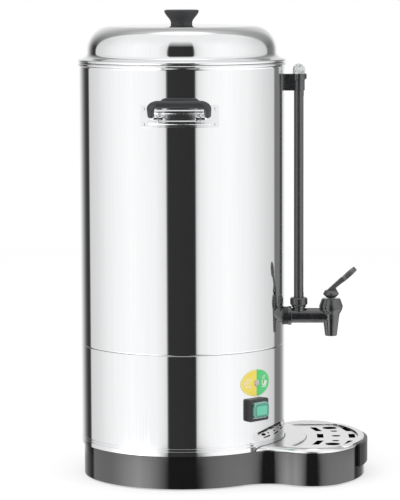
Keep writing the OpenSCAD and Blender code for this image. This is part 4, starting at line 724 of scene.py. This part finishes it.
# Translucent green polycarbonate of the rocker: painted bright, a painted glow standing for the light from within.
green, tree, shader, coords = new_finish("translucent_green_polycarbonate_painted_glow", "#5fdcb4", 0.2, IOR=1.585,
                                         Subsurface_Weight=0.3)
cloud = add(tree, "TexNoise", {"Vector": coords, "Scale": 180.0, "Detail": 2.0})
tone = add(tree, "ValToRGB", {0: cloud.outputs[0]}, stops=[(0.3, linear("#52d2a8")), (0.7, linear("#74e4c2"))])
tree.links.new(tone.outputs[0], shader.inputs["Base Color"])
# Clear green silicone boot with its light painted in: a painted glow over its middle for the lit rocker behind it, a
# painted highlight band on its rounded edge, and darker at its foot.
# The tone goes by the distance from the painted glow's middle; 9 m leaves the depth out of it.
PAINTED_GLOW_HALF_W, PAINTED_GLOW_HALF_H, PAINTED_GLOW_FADE = 7.0, 3.8, 7.0
boot, tree, shader, coords = new_finish("clear_green_silicone_painted_glow", "#6fc9ae", 0.12, IOR=1.41, Transmission_Weight=0.2)
facing = add(tree, "Mapping", {"Vector": coords, "Rotation": (0, 0, -math.radians(SWITCH_A)),
                               "Location": (0, 0, -SWITCH_Z * MM)})
apart = add(tree, "VectorMath", {0: facing.outputs[0]}, operation="ABSOLUTE")
past = add(tree, "VectorMath", {0: apart.outputs[0], 1: (PAINTED_GLOW_HALF_W * MM, 9, PAINTED_GLOW_HALF_H * MM)},
           operation="SUBTRACT")
outside = add(tree, "VectorMath", {0: past.outputs[0], 1: (0, 0, 0)}, operation="MAXIMUM")
off_painted_glow = add(tree, "VectorMath", {0: outside.outputs[0]}, operation="LENGTH")
ring = add(tree, "MapRange", {0: off_painted_glow.outputs["Value"], 1: 0.0, 2: PAINTED_GLOW_FADE * MM})
# painted light: a bright painted glow in the middle, a painted highlight band at 0.72 on the rounded edge, darker at
# the foot
tone = add(tree, "ValToRGB", {0: ring.outputs[0]}, stops=[
    (0.0, linear("#86ebcb")), (0.22, linear("#7fe3c4")), (0.36, linear("#5aa993")), (0.56, linear("#66b29d")),
    (0.72, linear("#a5d8ca")), (0.86, linear("#5f9f8d")), (0.93, linear("#2f4f48"))])
tree.links.new(tone.outputs[0], shader.inputs["Base Color"])
cloud = add(tree, "TexNoise", {"Vector": coords, "Scale": 120.0, "Detail": 2.0})
bent = add(tree, "Bump", {"Height": cloud.outputs[0], "Strength": 0.10, "Distance": 0.0006})
tree.links.new(bent.outputs[0], shader.inputs["Normal"])
# both are drawn lying down, outwards being up, and stood on the body's side; a row
# is half a width, half a height, how far out, and the corners' radius
on_side = (Matrix.Rotation(math.radians(SWITCH_A), 4, "Z") @ Matrix.Translation((0, -BODY_R - 6, SWITCH_Z))
           @ Matrix.Rotation(math.radians(90), 4, "X"))
for name, finish, slot, rows in (
        ("switch_bezel", nylon, "tap_black", [
            (11.2, 6.6, -19, 0.8), (12.9, 10.4, -19, 1), (12.9, 10.4, -7.4, 1), (15.7, 13.4, -7.4, 2.2),
            (15.7, 13.4, -0.6, 2.2), (15.55, 13.25, 0.2, 2.2), (15.1, 12.8, 0.8, 1.9), (14.5, 12.2, 1.0, 1.5),
            (11.2, 6.6, 1.0, 0.8)]),
        ("switch_boot", boot, "boot_clear", [
            (14.4, 9.8, 1.0, 3.8), (14.4, 9.8, 1.4, 3.8), (14.2, 9.6, 1.7, 3.6), (13.4, 8.8, 1.7, 3.3),
            (13.3, 8.7, 2.3, 3.3), (13.1, 8.5, 3.2, 3.2), (12.6, 8.0, 4.1, 3), (11.8, 7.2, 4.7, 2.6),
            (10.8, 6.2, 5.0, 2)])):
    bm = bmesh.new()
    loops = [slot_loop(bm, [(-w, -h), (w, -h), (w, h), (-w, h)], up, corner, 5) for w, h, up, corner in rows]
    bridge(bm, *loops)
    if name == "switch_bezel":
        bridge(bm, loops[-1], loops[0])
    else:
        bmesh.ops.contextual_create(bm, geom=loops[0])
        bmesh.ops.contextual_create(bm, geom=loops[-1])
    bmesh.ops.transform(bm, matrix=on_side, verts=bm.verts)
    piece(name + "_skin", bm, finish, nodes=[name], sharp=32)
softened("switch_rocker", green, 0.5, body="rocker")

# ---- Indicator panel ---------------------------------------------------------------------------
# A printed oval film round the lamp, yellow on the left and green on the right,
# with two plain white marks: heat for keeping warm, and a cup for ready.
PANEL_A, PANEL_Z, PANEL_W, PANEL_H = 45.8, 124.7, 49.5, 33.0
film, tree, shader, coords = new_finish("printed_polyester_film", "#f8dc5a", 0.32)
placed = add(tree, "Mapping", {"Vector": coords, "Rotation": (0, 0, -math.radians(PANEL_A)),
                               "Location": (0, 0, -PANEL_Z * MM)})
xyz = add(tree, "SeparateXYZ", {0: placed.outputs[0]})
right_half = add(tree, "Math", {0: xyz.outputs["X"], 1: 0.0}, operation="GREATER_THAN")
ink = add(tree, "TexNoise", {"Vector": coords, "Scale": 1400.0, "Detail": 2.0})
yellow = add(tree, "ValToRGB", {0: ink.outputs[0]}, stops=[(0.3, linear("#ffe458")), (0.7, linear("#ffea70"))])
leaf = add(tree, "ValToRGB", {0: ink.outputs[0]}, stops=[(0.3, linear("#4fcf78")), (0.7, linear("#5fdc88"))])
halves = add(tree, "Mix", {0: right_half.outputs[0], 6: yellow.outputs[0], 7: leaf.outputs[0]}, data_type="RGBA")
flat = add(tree, "CombineXYZ", {"X": xyz.outputs["X"], "Y": 0.0, "Z": xyz.outputs["Z"]})
oval = add(tree, "Mapping", {"Vector": flat.outputs[0],
                             "Scale": (2 / PANEL_W / MM, 1, 2 / PANEL_H / MM)})
out_from_middle = add(tree, "VectorMath", {0: oval.outputs[0]}, operation="LENGTH")
border = add(tree, "MapRange", {0: out_from_middle.outputs["Value"], 1: 0.92, 2: 0.96, 3: 0.0, 4: 0.55})
print_face = add(tree, "Mix", {0: border.outputs[0], 6: halves.outputs[2], 7: linear("#f3f7dc")}, data_type="RGBA")
tree.links.new(print_face.outputs[2], shader.inputs["Base Color"])
dress(film, "indicator_panel")

white_ink, tree, shader, coords = new_finish("white_screen_ink", "#f6f7ee", 0.4)
grain = add(tree, "TexNoise", {"Vector": coords, "Scale": 1500.0, "Detail": 2.0})
tone = add(tree, "ValToRGB", {0: grain.outputs[0]}, stops=[(0.3, linear("#eef0e2")), (0.7, linear("#fbfcf6"))])
tree.links.new(tone.outputs[0], shader.inputs["Base Color"])
bm = bmesh.new()


def stroke(bm, start, moves, wide=(1.3, 0, 0)):
    """A ribbon of ink: a line in the panel's plane drawn out sideways."""
    upright_trail(bm, start, moves)
    line = [e for e in bm.edges if not e.link_faces]
    drawn = bmesh.ops.extrude_edge_only(bm, edges=line)
    bmesh.ops.translate(bm, vec=wide, verts=[g for g in drawn["geom"] if isinstance(g, bmesh.types.BMVert)])


# three waves of heat over a bar, left of the lamp
for x in (-18, -14.6, -11.2):
    stroke(bm, (x, -1.5), [((x + 0.2, 0.5), 170, 6), ((x + 0.2, 4.5), -170, 6)])
stroke(bm, (-18.6, -4.6), [(-9.4, -4.6)], wide=(0, 0, 1.4))
# a cup with two wisps of steam, right of the lamp
stroke(bm, (10.6, -4.4), [(9.2, 1.6)], wide=(7.4, 0, 0))
stroke(bm, (16.4, -2.6), [((16.4, -0.9), -180, 6)], wide=(1.5, 0, 0))
stroke(bm, (9.6, -6.4), [(18, -6.4)], wide=(0, 0, 1.1))
for x in (11.2, 14.0):
    stroke(bm, (x, 3.0), [((x + 0.1, 4.4), 170, 5), ((x + 0.1, 7.0), -170, 5)], wide=(1.1, 0, 0))
bmesh.ops.subdivide_edges(bm, edges=[e for e in bm.edges if e.calc_length() > 3], cuts=6)
for v in bm.verts:
    v.co.y = -math.sqrt((BODY_R + 0.62) ** 2 - v.co.x ** 2)
    v.co.z += PANEL_Z
bmesh.ops.rotate(bm, cent=(0, 0, 0), matrix=Matrix.Rotation(math.radians(PANEL_A), 3, "Z"), verts=bm.verts)
piece("panel_marks", bm, white_ink)

# the lamp's lens, frosted inside so that it looks pale grey, and its body
frosted, tree, shader, coords = new_finish("frosted_polycarbonate", "#ded8d4", 0.28, IOR=1.585,
                                           Transmission_Weight=0.35)
grain = add(tree, "TexNoise", {"Vector": coords, "Scale": 900.0, "Detail": 2.0})
tone = add(tree, "ValToRGB", {0: grain.outputs[0]}, stops=[(0.3, linear("#d6d0cc")), (0.7, linear("#e8e3df"))])
tree.links.new(tone.outputs[0], shader.inputs["Base Color"])
dress(frosted, "lamp_lens")

# ---- Inside the lower shell ----------------------------------------------------------------------
# An aluminium plate with two steel-sheathed heating rings under the tank's floor,
# two bimetal switches, the terminal block and its sleeved wires.
cast_aluminium, tree, shader, coords = new_finish("cast_aluminium", "#b4b6b8", 0.5, Metallic=1.0)
grain = add(tree, "TexNoise", {"Vector": coords, "Scale": 420.0, "Detail": 5.0})
skin = add(tree, "Bump", {"Height": grain.outputs[0], "Strength": 0.4, "Distance": 0.0003})
tree.links.new(skin.outputs[0], shader.inputs["Normal"])
# Heating sheath: steel tinted straw to blue-grey by its own heat.
tinted, tree, shader, coords = new_finish("heat_tinted_steel", "#6c655c", 0.38, Metallic=1.0)
cloud = add(tree, "TexNoise", {"Vector": coords, "Scale": 45.0, "Detail": 3.0})
tone = add(tree, "ValToRGB", {0: cloud.outputs[0]}, stops=[
    (0.25, linear("#7d6a4e")), (0.5, linear("#5f5b63")), (0.75, linear("#4c5563"))])
tree.links.new(tone.outputs[0], shader.inputs["Base Color"])
# Glazed ceramic and white polyamide: pale, fine clouding, soft shine.
ceramic, tree, shader, coords = new_finish("steatite_ceramic", "#ddd6c4", 0.35)
cloud = add(tree, "TexNoise", {"Vector": coords, "Scale": 500.0, "Detail": 4.0})
tone = add(tree, "ValToRGB", {0: cloud.outputs[0]}, stops=[(0.3, linear("#d5cdb9")), (0.7, linear("#e4dece"))])
tree.links.new(tone.outputs[0], shader.inputs["Base Color"])
# Braided glass-silicone sleeve: slanting threads, drawn 1 mm apart so that they show.
sleeve, tree, shader, coords = new_finish("braided_silicone_sleeve", "#7c4a2c", 0.6)
braid = add(tree, "TexWave", {"Vector": coords, "Scale": 320.0, "Distortion": 1.5}, bands_direction="DIAGONAL")
tone = add(tree, "ValToRGB", {0: braid.outputs[1]}, stops=[(0.2, linear("#6b3d22")), (0.8, linear("#94603f"))])
tree.links.new(tone.outputs[0], shader.inputs["Base Color"])
dress(cast_aluminium, "heater_plate")
dress(tinted, "heating_ring", "keep_warm_ring")
dress(ceramic, "thermostat", "dry_boil_cutout", "terminal_block", "lamp_body")
dress(sleeve, "wires")
softened("cord_gland", satin_black, 0.4)
dress(satin_black, "gland_nut")
